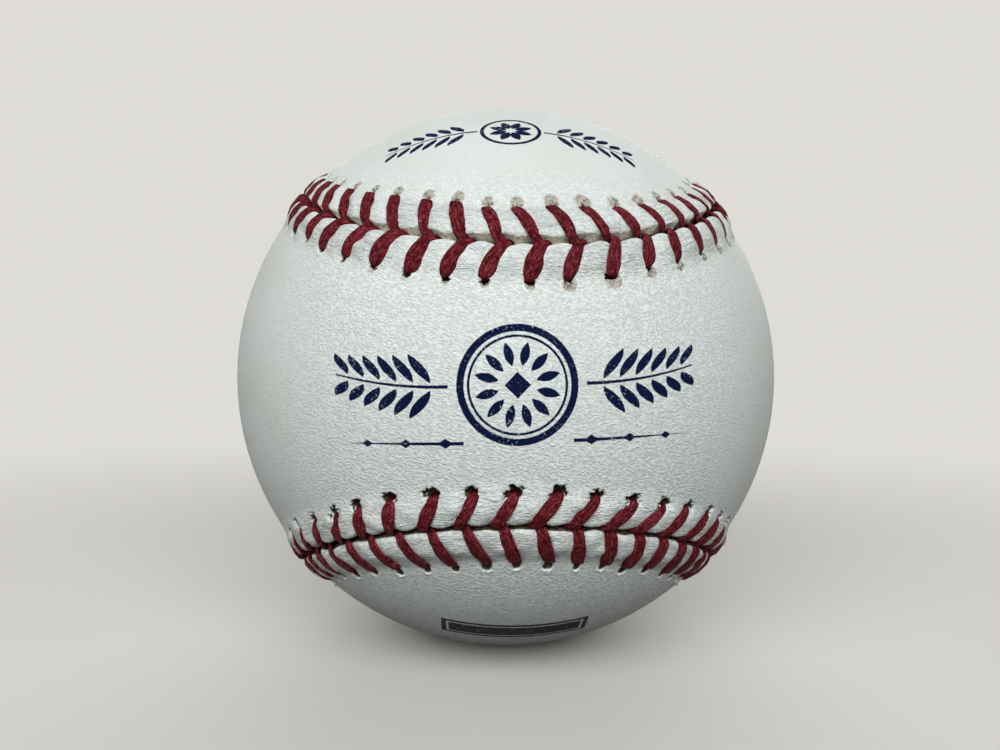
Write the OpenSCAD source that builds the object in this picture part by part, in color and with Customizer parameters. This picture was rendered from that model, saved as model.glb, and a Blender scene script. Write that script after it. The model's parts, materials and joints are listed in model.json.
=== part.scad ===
// Baseball: a cushioned cork centre, four windings and a cover of two laced leather panels.
// The origin is the centre of the ball. The neck of the front panel faces -Y, and Z points up.

/* [Centre] */
// Diameter of the core of cork and rubber
core_d = 20.6; // [16:0.2:24]
// Wall of the two black rubber shells round the core
black_wall = 3.95; // [2.5:0.05:5]
// Thickness of the rubber ring that seals the black shells
gasket_t = 1.6; // [0.8:0.1:3]
// Wall of the red rubber moulded over the black shells
red_wall = 2.4; // [1.5:0.1:3.5]

/* [Windings] */
// Depth of the inner winding of grey wool
grey_inner_wall = 14.3; // [12:0.1:16]
// Depth of the winding of white wool
white_wall = 1.65; // [1:0.05:2.5]
// Depth of the outer winding of grey wool
grey_outer_wall = 1.95; // [1.2:0.05:3]
// Depth of the cotton winding that finishes the wound ball
cotton_wall = 0.45; // [0.3:0.05:1]
// Play between one layer of the ball and the next
layer_gap = 0.05; // [0.02:0.01:0.1]

/* [Cover] */
// Thickness of the leather
leather_t = 1.2; // [1:0.05:1.5]
// Width of each panel at its neck, over the leather
neck_w = 29.4; // [26:0.2:33]
// Swing of the seam from neck to lobe, as a share of the ball
lobe_share = 0.498; // [0.46:0.002:0.53]
// Width of the open seam between the two panels
seam_gap = 0.9; // [0.8:0.05:1.2]
// Height that the leather swells to between two stitches
swell_h = 0.7; // [0.4:0.05:0.9]
// Radius of each swell
swell_r = 4.1; // [3.6:0.1:5]
// Distance from the seam to the crown of a swell
swell_off = 1.8; // [1.4:0.1:2.2]

/* [Lacing] */
// Number of stitches round the seam, an even number
stitch_count = 108; // [100:2:112]
// Distance from the seam to the middle of a stitch hole
hole_off = 4.3; // [4:0.1:4.8]
// Width of the waxed thread where it lies on the leather
thread_w = 1.4; // [1:0.05:1.6]
// Thickness of the thread where it lies on the leather
thread_t = 0.6; // [0.4:0.05:0.8]
// Thickness of the thread where the leather presses it flat
run_t = 0.3; // [0.2:0.02:0.4]
// Play between the thread and what it passes
thread_play = 0.08; // [0.04:0.01:0.1]
// Play between the thread and the wall of a stitch hole
hole_play = 0.35; // [0.3:0.05:0.45]

/* [Hidden] */

// Roundness of the layers, the swells and the stitch holes
layer_fn = 160;
swell_fn = 32;
hole_fn = 20;

// Outer radius of each layer, from the centre outwards
core_r = core_d / 2;
black_r = core_r + layer_gap + black_wall;
red_r = black_r + layer_gap + red_wall;
grey_inner_r = red_r + layer_gap + grey_inner_wall;
white_r = grey_inner_r + layer_gap + white_wall;
grey_outer_r = white_r + layer_gap + grey_outer_wall;
cotton_r = grey_outer_r + layer_gap + cotton_wall;

// Thread where it goes down through a hole or the seam, as shares of its width and thickness
end_w_share = 0.64;
end_t_share = 0.7;
end_w = end_w_share * thread_w;
hole_r = end_w / 2 + hole_play;

// Steps along the seam are counted in stitches: a hole lies this far behind its stitch's place
front_lag_share = 0.24;
back_lag_share = 0.38;
// Tips of the two legs of a stitch lie side by side in the seam, the front one leading
tip_share = 0.6;

// The thread runs under the leather in straight stretches, which dip below the round of the ball.
// The space there holds it: its thickness, the dip of its longest run, and play on both sides.
run_reach_share = 1.75;
run_reach = run_reach_share * hole_off;
run_dip = run_reach * run_reach / (8 * cotton_r);
lace_space = run_t + run_dip + 2 * thread_play;
leather_in_r = cotton_r + lace_space;
ball_r = leather_in_r + leather_t;
run_r = leather_in_r - thread_play - run_t / 2;

// Points along a panel's edge, an even number, and the first one's share of the seam, at its far tip
edge_count = 108;
edge_start_share = 7 / 8;
// Reach of the solid that cuts a panel out
cut_reach_share = 1.6;
cut_r = cut_reach_share * ball_r;

function unit(v) = v / norm(v);
function arc_angle(length) = length / ball_r * 180 / PI;

// Seam: a closed curve round the ball that parts it into two alike panels, as a unit vector
seam_rise = (1 - lobe_share) / tan(arc_angle(neck_w / 2));
function seam_raw(u) = [
    cos(u) - lobe_share * cos(3 * u),
    seam_rise * cos(2 * u),
    sin(u) + lobe_share * sin(3 * u),
];
function seam_slope(u) = [
    -sin(u) + 3 * lobe_share * sin(3 * u),
    -2 * seam_rise * sin(2 * u),
    cos(u) + 3 * lobe_share * cos(3 * u),
];

// Table from distance along the seam to the curve's own angle, from the stitch that counts as 0
start_share = 1 / 8;
step_count = 720;
function seam_angle(i) = (start_share + i / step_count) * 360;
seam_table = [
    for (
        i = 0, run = 0, here = unit(seam_raw(seam_angle(0)));
        i <= step_count;
        i = i + 1,
        next = unit(seam_raw(seam_angle(i))),
        run = run + norm(next - here),
        here = next
    ) [run, seam_angle(i)]
];
seam_turn = seam_table[step_count][0];
stitch_pitch = seam_turn * ball_r / stitch_count;

// Place on the seam a number of stitches along: outward, along the seam, and towards the front panel
function seam_at(stitches) =
    let (
        share = stitches / stitch_count,
        u = lookup((share - floor(share)) * seam_turn, seam_table),
        out = unit(seam_raw(u)),
        slope = seam_slope(u),
        along = unit(slope - (slope * out) * out)
    ) [out, along, cross(out, along)];

// Direction from the centre to a place on the cover, off the seam by a length over the leather
function cover_at(stitches, off) =
    let (at = seam_at(stitches), a = arc_angle(off))
    at[0] * cos(a) + at[2] * sin(a);

// How far along the seam a leg lies at a share of its way from the seam to its hole
tip_step = (end_w + 2 * thread_play) / stitch_pitch;
function tip_lag(side) = side > 0 ? -tip_share * tip_step : (1 - tip_share) * tip_step;
function hole_lag(side) = side > 0 ? front_lag_share : back_lag_share;
function leg_lag(side, way) = tip_lag(side) * (1 - way) + hole_lag(side) * way;

// Swells stand between the legs of neighbouring stitches
function swell_centre(side, k) =
    (ball_r + swell_h - swell_r)
    * cover_at(k + 1 / 2 + leg_lag(side, swell_off / hole_off), side * swell_off);

function sphere_reach(out, centre, r) =
    let (m = out * centre, q = m * m - centre * centre + r * r) q > 0 ? m + sqrt(q) : 0;
function cover_reach(out, side, k) =
    max(ball_r, max([for (j = [k - 2 : k + 1]) sphere_reach(out, swell_centre(side, j), swell_r)]));

// Stations of the thread from one hole to the next: way to the hole, width and thickness,
// and 1 where the thread lies on the leather or 0 where it runs under it
function stations_share(i) = [
    [1, end_w_share, run_t / thread_t, 0],
    [0.97, end_w_share, end_t_share, 1],
    [0.62, 1, 1, 1],
    [0.28, 1, 1, 1],
    [0.02, end_w_share, end_t_share, 1],
    [-0.035, end_w_share, run_t / thread_t, 0],
][i];
station_count = 6;

// Radius of the thread's middle where its section lies clear on the leather at all its corners
function seat_r(side, k, way, w, t) =
    let (
        off = max(way * hole_off, seam_gap / 2),
        lag = leg_lag(side, way),
        half = w / 2 / stitch_pitch,
        under = [for (x = [-1, 0, 1]) cover_reach(cover_at(k + lag + x * half / 2, side * off), side, k)],
        beside = [for (x = [-1, 1]) cover_reach(cover_at(k + lag + x * half, side * off), side, k)]
    ) max(max(under) + t / 2, max(beside)) + thread_play;

function station(side, k, i) =
    let (
        row = stations_share(i),
        w = row[1] * thread_w,
        t = row[2] * thread_t,
        stitches = k + leg_lag(side, row[0]),
        r = row[3] > 0 ? seat_r(side, k, row[0], w, t) : run_r
    ) [r * cover_at(stitches, side * row[0] * hole_off), seam_at(stitches)[1], w, t];

// One end of the thread laces the legs of both panels by turns, and comes back to where it began
function lace_stations(first) = [
    for (k = [0 : stitch_count - 1], i = [0 : station_count - 1])
        station((k + first) % 2 == 0 ? 1 : -1, k, i)
];

section_share = [[1 / 2, 0], [1 / 4, 1 / 2], [-1 / 4, 1 / 2], [-1 / 2, 0], [-1 / 4, -1 / 2], [1 / 4, -1 / 2]];

function lace_ring(before, here, after) =
    let (
        way = unit(unit(after[0] - here[0]) + unit(here[0] - before[0])),
        wide = unit(here[1] - (here[1] * way) * way),
        thick = cross(way, wide)
    ) [for (s = section_share) here[0] + s[0] * here[2] * wide + s[1] * here[3] * thick];

module lacing(first) {
    path = lace_stations(first);
    count = len(path);
    sides = len(section_share);
    points = [
        for (i = [0 : count - 1])
            each lace_ring(path[(i + count - 1) % count], path[i], path[(i + 1) % count])
    ];
    // Each four-cornered face is split along the corner line that lies outside the thread's twist
    wides = [for (i = [0 : count - 1]) points[i * sides] - points[i * sides + sides / 2]];
    faces = [
        for (i = [0 : count - 1])
            let (
                next = (i + 1) % count,
                twist = cross(wides[i], wides[next]) * (path[next][0] - path[i][0])
            )
            for (j = [0 : sides - 1])
                let (
                    a = i * sides + j,
                    b = i * sides + (j + 1) % sides,
                    c = next * sides + (j + 1) % sides,
                    d = next * sides + j
                ) each twist > 0 ? [[a, d, b], [b, d, c]] : [[a, c, b], [a, d, c]]
    ];
    polyhedron(points, faces);
}

module layer(outer_r, wall) {
    difference() {
        sphere(r = outer_r, $fn = layer_fn);
        sphere(r = outer_r - wall, $fn = layer_fn);
    }
}

// Half of the black rubber, its flat rim clear of the sealing ring
module black_shell() {
    rim_z = gasket_t / 2 + layer_gap;
    difference() {
        layer(black_r, black_wall);
        translate([-black_r, -black_r, rim_z - 2 * black_r]) cube(2 * black_r);
    }
}

// Cone from the centre of the ball through the front panel's edge, closed beyond the ball. Edge
// points that mirror each other in Z are joined, so that each face there is flat.
module panel_cutter() {
    n = edge_count;
    edge = [
        for (i = [0 : n - 1])
            cut_r * cover_at((edge_start_share + i / n) * stitch_count, seam_gap / 2)
    ];
    sides = [for (i = [1 : n]) [0, i, i % n + 1]];
    ends = [[1, n, 2], [n / 2 + 1, n / 2, n / 2 + 2]];
    cap = [for (i = [2 : n / 2 - 1]) [i + 1, i, n + 2 - i, n + 1 - i]];
    polyhedron(concat([[0, 0, 0]], edge), concat(sides, ends, cap));
}

// The back panel is cut in the front panel's place and then turned half round the line X = Z
function unturned(side, v) = side > 0 ? v : [v.z, -v.y, v.x];

// Stitch holes stand square to the leather
module stitch_holes(side) {
    bottom_r = leather_in_r - leather_t;
    top_r = ball_r + swell_h;
    for (k = [0 : stitch_count - 1]) {
        out = unturned(side, cover_at(k + hole_lag(side), side * hole_off));
        rotate([0, acos(out.z), atan2(out.y, out.x)])
            translate([0, 0, bottom_r]) cylinder(r = hole_r, h = top_r - bottom_r, $fn = hole_fn);
    }
}

module swells(side) {
    for (k = [0 : stitch_count - 1])
        translate(unturned(side, swell_centre(side, k))) sphere(r = swell_r, $fn = swell_fn);
}

module cover_panel(side) {
    rotate(a = side > 0 ? 0 : 180, v = [1, 0, 1]) difference() {
        intersection() {
            union() {
                sphere(r = ball_r, $fn = layer_fn);
                swells(side);
            }
            panel_cutter();
        }
        sphere(r = leather_in_r, $fn = layer_fn);
        stitch_holes(side);
    }
}

module cork_core() {
    color("#b98a5a") sphere(r = core_r, $fn = layer_fn);
}

module black_shell_upper() {
    color("#26262a") black_shell();
}

module black_shell_lower() {
    color("#26262a") mirror([0, 0, 1]) black_shell();
}

module shell_gasket() {
    color("#a8322c") intersection() {
        layer(black_r, black_wall);
        translate([-black_r, -black_r, -gasket_t / 2]) cube([2 * black_r, 2 * black_r, gasket_t]);
    }
}

module red_rubber_cover() {
    color("#b8322e") layer(red_r, red_wall);
}

module grey_wool_inner() {
    color("#8c8d90") layer(grey_inner_r, grey_inner_wall);
}

module white_wool() {
    color("#e6e2d6") layer(white_r, white_wall);
}

module grey_wool_outer() {
    color("#9a9b9e") layer(grey_outer_r, grey_outer_wall);
}

module cotton_winding() {
    color("#f0ede2") layer(cotton_r, cotton_wall);
}

module cover_panel_front() {
    color("#e4e7e2") cover_panel(1);
}

module cover_panel_back() {
    color("#dfe2dd") cover_panel(-1);
}

module lacing_thread_first() {
    color("#8e1426") lacing(0);
}

module lacing_thread_second() {
    color("#9c1a2c") lacing(1);
}

cork_core();
black_shell_upper();
black_shell_lower();
shell_gasket();
red_rubber_cover();
grey_wool_inner();
white_wool();
grey_wool_outer();
cotton_winding();
cover_panel_front();
cover_panel_back();
lacing_thread_first();
lacing_thread_second();
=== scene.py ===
import json
import math

import bpy
import numpy as np
from bpy.props import FloatProperty, FloatVectorProperty, IntProperty, PointerProperty
from bpy.types import Operator, Panel, PropertyGroup
from mathutils import Matrix, Vector

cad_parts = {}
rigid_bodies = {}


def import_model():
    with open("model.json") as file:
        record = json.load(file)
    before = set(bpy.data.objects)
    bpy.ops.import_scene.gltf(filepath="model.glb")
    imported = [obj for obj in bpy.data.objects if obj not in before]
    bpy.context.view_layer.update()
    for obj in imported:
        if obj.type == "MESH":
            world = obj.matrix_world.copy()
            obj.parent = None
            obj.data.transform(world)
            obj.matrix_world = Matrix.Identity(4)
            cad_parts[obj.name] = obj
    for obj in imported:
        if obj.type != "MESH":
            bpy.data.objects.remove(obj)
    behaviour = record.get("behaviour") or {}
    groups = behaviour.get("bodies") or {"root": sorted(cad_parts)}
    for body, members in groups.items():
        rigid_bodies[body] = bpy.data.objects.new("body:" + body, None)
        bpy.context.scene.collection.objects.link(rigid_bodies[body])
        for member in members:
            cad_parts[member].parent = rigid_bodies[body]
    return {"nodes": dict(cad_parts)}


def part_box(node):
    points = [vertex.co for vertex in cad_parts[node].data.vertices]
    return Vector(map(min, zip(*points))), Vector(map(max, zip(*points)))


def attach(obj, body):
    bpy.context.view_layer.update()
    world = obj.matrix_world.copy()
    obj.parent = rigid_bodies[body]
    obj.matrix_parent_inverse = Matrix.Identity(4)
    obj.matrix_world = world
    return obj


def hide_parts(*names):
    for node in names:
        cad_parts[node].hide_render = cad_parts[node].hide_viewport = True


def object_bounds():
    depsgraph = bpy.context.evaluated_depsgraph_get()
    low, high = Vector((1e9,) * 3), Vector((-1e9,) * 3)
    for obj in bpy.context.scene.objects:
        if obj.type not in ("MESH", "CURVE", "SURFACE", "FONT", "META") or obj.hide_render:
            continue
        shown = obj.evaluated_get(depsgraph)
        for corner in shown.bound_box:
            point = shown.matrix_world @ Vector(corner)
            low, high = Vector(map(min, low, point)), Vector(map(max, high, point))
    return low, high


bl_info = {
    "name": "Laced Leather Ball",
    "version": (1, 0, 0),
    "blender": (4, 5, 0),
    "location": "3D View > Sidebar > Ball",
    "description": "Leather cover, lacing, windings and centre of a laced ball, round its packed solids",
    "category": "Object",
}

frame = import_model()
SOLID_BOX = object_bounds()
BALL_RADIUS = SOLID_BOX[1][2]

MM = 0.001
TURN = 2 * math.pi
BODY = "root"

# Hand-made holes: at a stitch of the counted ones, the lag of the front and the back hole as a part
# of a stitch, the reach of the front and the back leg as millimetres off the seam, and the scuffs
# round both holes
COUNTED_STITCHES = 108
HOLE_DRIFT = np.array(
    [
        [5, -0.05, 0.28, 3.55, 3.60, 0.6, 0.6],
        [7, 0.00, 0.30, 3.40, 3.60, 0.6, 0.6],
        [8, -0.02, 0.34, 3.25, 3.60, 0.7, 0.5],
        [9, 0.03, 0.34, 3.30, 3.70, 0.9, 0.7],
        [10, 0.13, 0.34, 3.65, 3.75, 1.0, 0.9],
        [11, 0.22, 0.42, 4.05, 4.10, 0.9, 1.0],
        [12, 0.41, 0.50, 3.95, 4.40, 0.8, 1.0],
        [13, 0.26, 0.57, 4.10, 4.10, 0.4, 1.0],
        [14, 0.30, 0.52, 4.05, 4.10, 0.3, 0.9],
        [16, 0.27, 0.58, 4.10, 4.50, 0.3, 0.8],
        [18, 0.30, 0.80, 3.90, 4.00, 0.2, 0.5],
        [21, 0.25, 0.82, 3.65, 3.50, 0.1, 0.3],
        [40, 0.28, 0.45, 4.05, 4.15, 0.4, 0.6],
        [60, 0.15, 0.05, 2.95, 4.10, 0.2, 0.0],
        [62, 0.20, 0.15, 3.20, 4.40, 0.2, 0.0],
        [63, 0.18, 0.28, 3.40, 4.60, 0.2, 0.0],
        [64, 0.17, 0.42, 3.55, 4.80, 0.2, 0.0],
        [65, 0.38, 0.38, 3.70, 4.80, 0.2, 0.0],
        [66, 0.43, 0.50, 3.65, 4.75, 0.2, 0.0],
        [67, 0.42, 0.50, 3.35, 4.75, 0.2, 0.0],
        [68, 0.44, 0.58, 3.60, 4.70, 0.2, 0.0],
        [69, 0.44, 0.49, 3.60, 4.65, 0.2, 0.0],
        [70, 0.52, 0.53, 3.50, 4.65, 0.2, 0.0],
        [72, 0.38, 0.42, 3.80, 4.60, 0.2, 0.0],
        [73, 0.44, 0.70, 3.85, 4.60, 0.2, 0.0],
        [76, 0.46, 0.75, 3.60, 4.40, 0.2, 0.0],
        [92, 0.28, 0.45, 4.05, 4.15, 0.4, 0.6],
    ]
)


# Sizes and colours that a user may change

def length(name, description, value, **more):
    """A property for a length, which is given here in millimetres."""
    return FloatProperty(
        name=name, description=description, default=value * MM, unit="LENGTH", precision=5, **more
    )


def share(name, description, value):
    return FloatProperty(name=name, description=description, default=value, precision=3)


def tint(rgb, factor):
    """A colour times one number or three, and no brighter than white."""
    return tuple(min(c * k, 1) for c, k in zip(rgb, np.broadcast_to(factor, 3).tolist()))


def colour(name, description, *rgb):
    return FloatVectorProperty(
        name=name, description=description, default=rgb, size=3, min=0, max=1, subtype="COLOR"
    )


class SeamSettings(PropertyGroup):
    """Run of the seam and places of the stitches, as the solids have them"""

    lobe_share: share("Lobe", "Swing of the seam from neck to lobe, as a share of the ball", 0.498)
    neck_width: length("Neck", "Width of each panel at its neck, over the leather", 29.4)
    stitches: IntProperty(name="Stitches", description="Stitches round the seam", default=108, min=2)
    hole_off: length("Hole distance", "Distance from the seam to a stitch hole", 4.3)
    front_hole_lag: share("Front hole lag", "Front holes lie this part of a stitch along", 0.28)
    back_hole_lag: share("Back hole lag", "Back holes lie this part of a stitch along", 0.45)
    drift: share("Drift", "How far the holes follow the hand that made them", 1.0)
    front_tip: length("Front tip", "Place of a front leg's tip along the seam", -0.45)
    back_tip: length("Back tip", "Place of a back leg's tip along the seam", 0.42)
    bow_share: share("Bow", "Bend of a leg on its way from the seam to its hole", 0.32)


class CoverSettings(PropertyGroup):
    """Shape and finish of the leather"""

    thickness: length("Thickness", "Thickness of the leather", 1.2)
    leather: colour("Leather", "White tanned leather", 0.745, 0.8, 0.775)
    suede: colour("Cut edge", "Raw cut edge of the leather", 0.9, 0.86, 0.74)
    ink: colour("Ink", "Stamped ink", 0.001, 0.006, 0.042)
    grey_ink: colour("Grey ink", "Ink of the band on the lower lobe", 0.05, 0.05, 0.045)
    tight_gap: length("Tight gap", "Width of the seam where it is drawn tight", 0.35)
    open_gap: length("Open gap", "Width of the seam where it stands open", 0.66)
    edge_slope: length("Edge slope", "How far the cut edge's foot stands out in the open seam", 0.3)
    crown: length("Crown", "Height of the leather between two legs", 0.7)
    crown_off: length("Crown distance", "Distance from the seam to the crown", 1.6)
    crown_fall: length("Crown fall", "Distance over which the crown falls back to the ball", 3.6)
    bed_depth: length("Bed depth", "Depth of the bed that a leg presses into the leather", 0.24)
    bed_width: length("Bed width", "Half the width of that bed", 0.8)
    edge_round: length("Edge round", "Round of the leather's edge where it is drawn tight", 0.75)
    sharp_round: length("Sharp round", "Round of the back panel's edge where the seam is open", 0.3)
    scallop: length("Scallop", "How far a leg draws the edge back", 0.3)
    pit_depth: length("Pit depth", "Depth of the torn leather round a hole", 0.95)
    pit_radius: length("Pit radius", "Radius of the torn opening", 0.6)
    seed: IntProperty(name="Seed", description="Seed of the uneven edges and tears", default=11)


class LacingSettings(PropertyGroup):
    """Waxed thread"""

    thread: colour("Thread", "Waxed thread", 0.17, 0.006, 0.013)
    shadow: colour("Grooves", "Grooves between the strands", 0.04, 0.001, 0.002)
    front_width: length("Front width", "Width of a leg on the front panel", 1.6)
    back_width: length("Back width", "Width of a leg on the back panel", 1.74)
    thickness: length("Thickness", "Thickness of a leg", 0.52)
    groove: length("Groove", "Depth of the grooves between the strands", 0.05)
    shapes: IntProperty(name="Shapes", description="Different legs for each panel", default=6, min=1)
    seed: IntProperty(name="Seed", description="Seed of the uneven legs", default=4)


class WindingSettings(PropertyGroup):
    """Wound layers and the moulded centre"""

    grey_wool: colour("Grey wool", "Grey wool yarn", 0.3, 0.3, 0.31)
    white_wool: colour("White wool", "White wool yarn", 0.74, 0.7, 0.6)
    cotton: colour("Cotton", "Cotton thread", 0.78, 0.75, 0.66)
    cork: colour("Cork", "Granules of cork", 0.5, 0.3, 0.15)
    black_rubber: colour("Black rubber", "Rubber of the shells", 0.02, 0.02, 0.023)
    red_rubber: colour("Red rubber", "Rubber of the ring and the outer cover", 0.42, 0.035, 0.025)
    wool_yarn: length("Wool yarn", "Thickness of the inner wool yarn", 1.1)
    fine_yarn: length("Fine wool yarn", "Thickness of the outer wool yarns", 0.8)
    cotton_yarn: length("Cotton thread", "Thickness of the cotton thread", 0.4)
    loops: IntProperty(name="Turns", description="Turns that show on a wool winding", default=110)


class StageSettings(PropertyGroup):
    """Floor, lamps and camera"""

    floor: colour("Floor", "Floor and backdrop", 0.8, 0.78, 0.74)
    floor_radius: FloatProperty(
        name="Floor radius", description="Radius of the floor", default=1.6, unit="LENGTH"
    )
    key_power: FloatProperty(name="Key lamp", description="Power of the lamp in front", default=8.0)
    back_power: FloatProperty(name="Back lamp", description="Power of the lamp behind", default=5.0)
    sky: FloatProperty(name="Sky", description="Strength of the light from all round", default=0.08)


SETTINGS = {
    "ball_seam": SeamSettings,
    "ball_cover": CoverSettings,
    "ball_lacing": LacingSettings,
    "ball_windings": WindingSettings,
    "ball_stage": StageSettings,
}


# Sums on node sockets

def summed(operation, turned=False):
    """A wire's method that adds the node of one sum, with its terms turned round where that is asked."""

    def method(self, *others):
        terms = (self, *others)
        return self.sum(operation, *(reversed(terms) if turned else terms))

    return method


class Wire:
    """A socket that can stand in a sum: each operator adds the node that works it out."""

    __add__ = __radd__ = summed("ADD")
    __sub__ = summed("SUBTRACT")
    __rsub__ = summed("SUBTRACT", turned=True)
    __mul__ = __rmul__ = summed("MULTIPLY")
    __truediv__ = summed("DIVIDE")
    __pow__ = summed("POWER")
    __abs__ = summed("ABSOLUTE")
    at_least = summed("MAXIMUM")
    at_most = summed("MINIMUM")

    def __init__(self, graph, socket):
        self.graph = graph
        self.socket = socket

    def sum(self, operation, *terms):
        is_vector = self.socket.type == "VECTOR"
        work = self.graph.vector_math if is_vector else self.graph.math
        return work(operation, *terms)

    def scaled(self, factor):
        """This vector times one number."""
        return self.graph.node(
            "ShaderNodeVectorMath", {"operation": "SCALE"}, {"Vector": self, "Scale": factor}
        )

    def dot(self, other):
        return self.sum("DOT_PRODUCT", self, other).out("Value")

    def out(self, name):
        """Another output of the node that this socket is on."""
        return Wire(self.graph, self.socket.node.outputs[name])

    def parts(self):
        """The three numbers of this vector."""
        split = self.graph.node("ShaderNodeSeparateXYZ", {}, [self])
        return [split.out(axis) for axis in "XYZ"]

    def step(self, low, high):
        """0 up to low and 1 from high on, with a smooth rise between."""
        return self.graph.node(
            "ShaderNodeMapRange",
            {"interpolation_type": "SMOOTHSTEP", "clamp": True},
            {"Value": self, "From Min": low, "From Max": high},
        )


class Graph:
    """A node tree whose nodes are all made by one method."""

    def __init__(self, tree):
        self.tree = tree

    def node(self, kind, settings=None, values=(), output=0):
        """Adds a node: its settings first, then each socket's value or link, by name or number."""
        made = self.tree.nodes.new(kind)
        for name, value in (settings or {}).items():
            setattr(made, name, value)
        pairs = values.items() if isinstance(values, dict) else enumerate(values)
        for key, value in pairs:
            if isinstance(value, Wire):
                self.tree.links.new(value.socket, made.inputs[key])
            else:
                made.inputs[key].default_value = value
        return Wire(self, made.outputs[output]) if made.outputs else made

    def math(self, operation, *values):
        return self.node("ShaderNodeMath", {"operation": operation}, values)

    def vector_math(self, operation, *values):
        return self.node("ShaderNodeVectorMath", {"operation": operation}, values)

    def combine(self, x, y, z):
        return self.node("ShaderNodeCombineXYZ", {}, [x, y, z])


def opaque(rgb):
    """A colour as a socket takes it: a wire as it is, or three numbers with their alpha."""
    return rgb if isinstance(rgb, Wire) else (*rgb, 1)


class Finish(Graph):
    """A material: its textures, mixes and shader."""

    def __init__(self, name):
        self.material = bpy.data.materials.new(name)
        self.material.use_nodes = True
        super().__init__(self.material.node_tree)
        self.tree.nodes.clear()
        place = self.node("ShaderNodeTexCoord", {}, (), "Object")
        self.place = place.scaled(1 / MM)

    def attribute(self, name):
        return self.node("ShaderNodeAttribute", {"attribute_name": name}, (), "Vector")

    def noise(self, place, scale, detail=2.0, roughness=0.5, distortion=0.0):
        """Soft noise from 0 to 1, with scale in lumps a millimetre."""
        values = {"Vector": place, "Scale": scale, "Detail": detail}
        values.update({"Roughness": roughness, "Distortion": distortion})
        return self.node("ShaderNodeTexNoise", {}, values)

    def cells(self, place, scale, feature="F1", output="Distance"):
        values = {"Vector": place, "Scale": scale}
        return self.node("ShaderNodeTexVoronoi", {"feature": feature}, values, output)

    def mix(self, factor, first, second):
        """From the first colour to the second."""
        factor_in, first_in, second_in, colour_out = 0, 6, 7, 2
        values = {factor_in: factor, first_in: opaque(first), second_in: opaque(second)}
        kind = {"data_type": "RGBA", "clamp_factor": True}
        return self.node("ShaderNodeMix", kind, values, colour_out)

    def bump(self, height, depth):
        values = {"Strength": 1.0, "Distance": depth, "Height": height}
        return self.node("ShaderNodeBump", {}, values)

    def shade(self, rgb, roughness, normal=None, **constants):
        values = {"Base Color": opaque(rgb), "Roughness": roughness}
        if normal is not None:
            values["Normal"] = normal
        for name, value in constants.items():
            values[name.replace("_", " ").title().replace("Ior", "IOR")] = value
        shader = self.node("ShaderNodeBsdfPrincipled", {}, values)
        self.node("ShaderNodeOutputMaterial", {}, [shader])
        return self.material


# Meshes

def new_object(name, mesh):
    made = bpy.data.objects.new(name, mesh)
    bpy.context.scene.collection.objects.link(made)
    return made


def points_mesh(name, points, **vectors):
    """Points alone, each with a vector under every name given, for a tree to work on."""
    mesh = bpy.data.meshes.new(name)
    mesh.vertices.add(len(points))
    mesh.vertices.foreach_set("co", np.asarray(points, dtype=np.float32).ravel())
    for title, values in vectors.items():
        set_vectors(mesh, title, values)
    return mesh


def mesh_of(name, points, faces):
    """A mesh from an array of points and arrays of faces, each array with one number of corners."""
    mesh = points_mesh(name, points)
    corners = np.concatenate([np.asarray(part, dtype=np.int32).ravel() for part in faces])
    counts = np.concatenate([np.full(len(part), np.shape(part)[1], dtype=np.int32) for part in faces])
    starts = np.concatenate([[0], np.cumsum(counts)[:-1]]).astype(np.int32)
    mesh.loops.add(len(corners))
    mesh.loops.foreach_set("vertex_index", corners)
    mesh.polygons.add(len(counts))
    mesh.polygons.foreach_set("loop_start", starts)
    mesh.update(calc_edges=True)
    mesh.validate()
    mesh.shade_smooth()
    return mesh


def set_vectors(mesh, name, values):
    layer = mesh.attributes.new(name, "FLOAT_VECTOR", "POINT")
    layer.data.foreach_set("vector", np.asarray(values, dtype=np.float32).ravel())


def sleeve(rings, sides):
    """The point numbers of a tube's rings, and the faces between each ring and the next."""
    grid = np.arange(rings * sides).reshape(rings, sides)
    near, far = grid[:-1], grid[1:]
    faces = np.stack([near, np.roll(near, -1, axis=1), np.roll(far, -1, axis=1), far], axis=-1)
    return grid, faces.reshape(-1, 4)


def turned_out(points, faces):
    """The faces of a closed mesh, turned over if they look inwards."""
    volume = 0
    for part in faces:
        for j in range(1, part.shape[1] - 1):
            a, b, c = points[part[:, 0]], points[part[:, j]], points[part[:, j + 1]]
            volume += np.sum(a * np.cross(b, c))
    return [part[:, ::-1] for part in faces] if volume < 0 else faces


def paint(piece, material):
    piece.data.materials.clear()
    piece.data.materials.append(material)


def dress(piece, material, slot, *nodes):
    """Gives a piece its material, fixes it to the ball's body, and hides the solids that it stands for.
    """
    paint(piece, material)
    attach(piece, BODY)
    if nodes:
        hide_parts(*nodes)


def geometry_tree(name, inputs):
    """A Geometry Nodes tree with a geometry in and out, and an input for each size."""
    tree = bpy.data.node_groups.new(name, "GeometryNodeTree")
    tree.interface.new_socket("Geometry", in_out="INPUT", socket_type="NodeSocketGeometry")
    for title, kind in inputs.items():
        tree.interface.new_socket(title, in_out="INPUT", socket_type=f"NodeSocket{kind}")
    tree.interface.new_socket("Geometry", in_out="OUTPUT", socket_type="NodeSocketGeometry")
    graph = Graph(tree)
    graph.entry = graph.node("NodeGroupInput")
    return graph


def random_value(graph, kind, low, high, **values):
    """A random value between two bounds. Each kind has its own sockets on the node."""
    sockets = {"FLOAT_VECTOR": (0, 1, 0), "FLOAT": (2, 3, 1), "INT": (4, 5, 2)}
    low_in, high_in, value_out = sockets[kind]
    values = {low_in: low, high_in: high, **values}
    return graph.node("FunctionNodeRandomValue", {"data_type": kind}, values, value_out)


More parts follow.
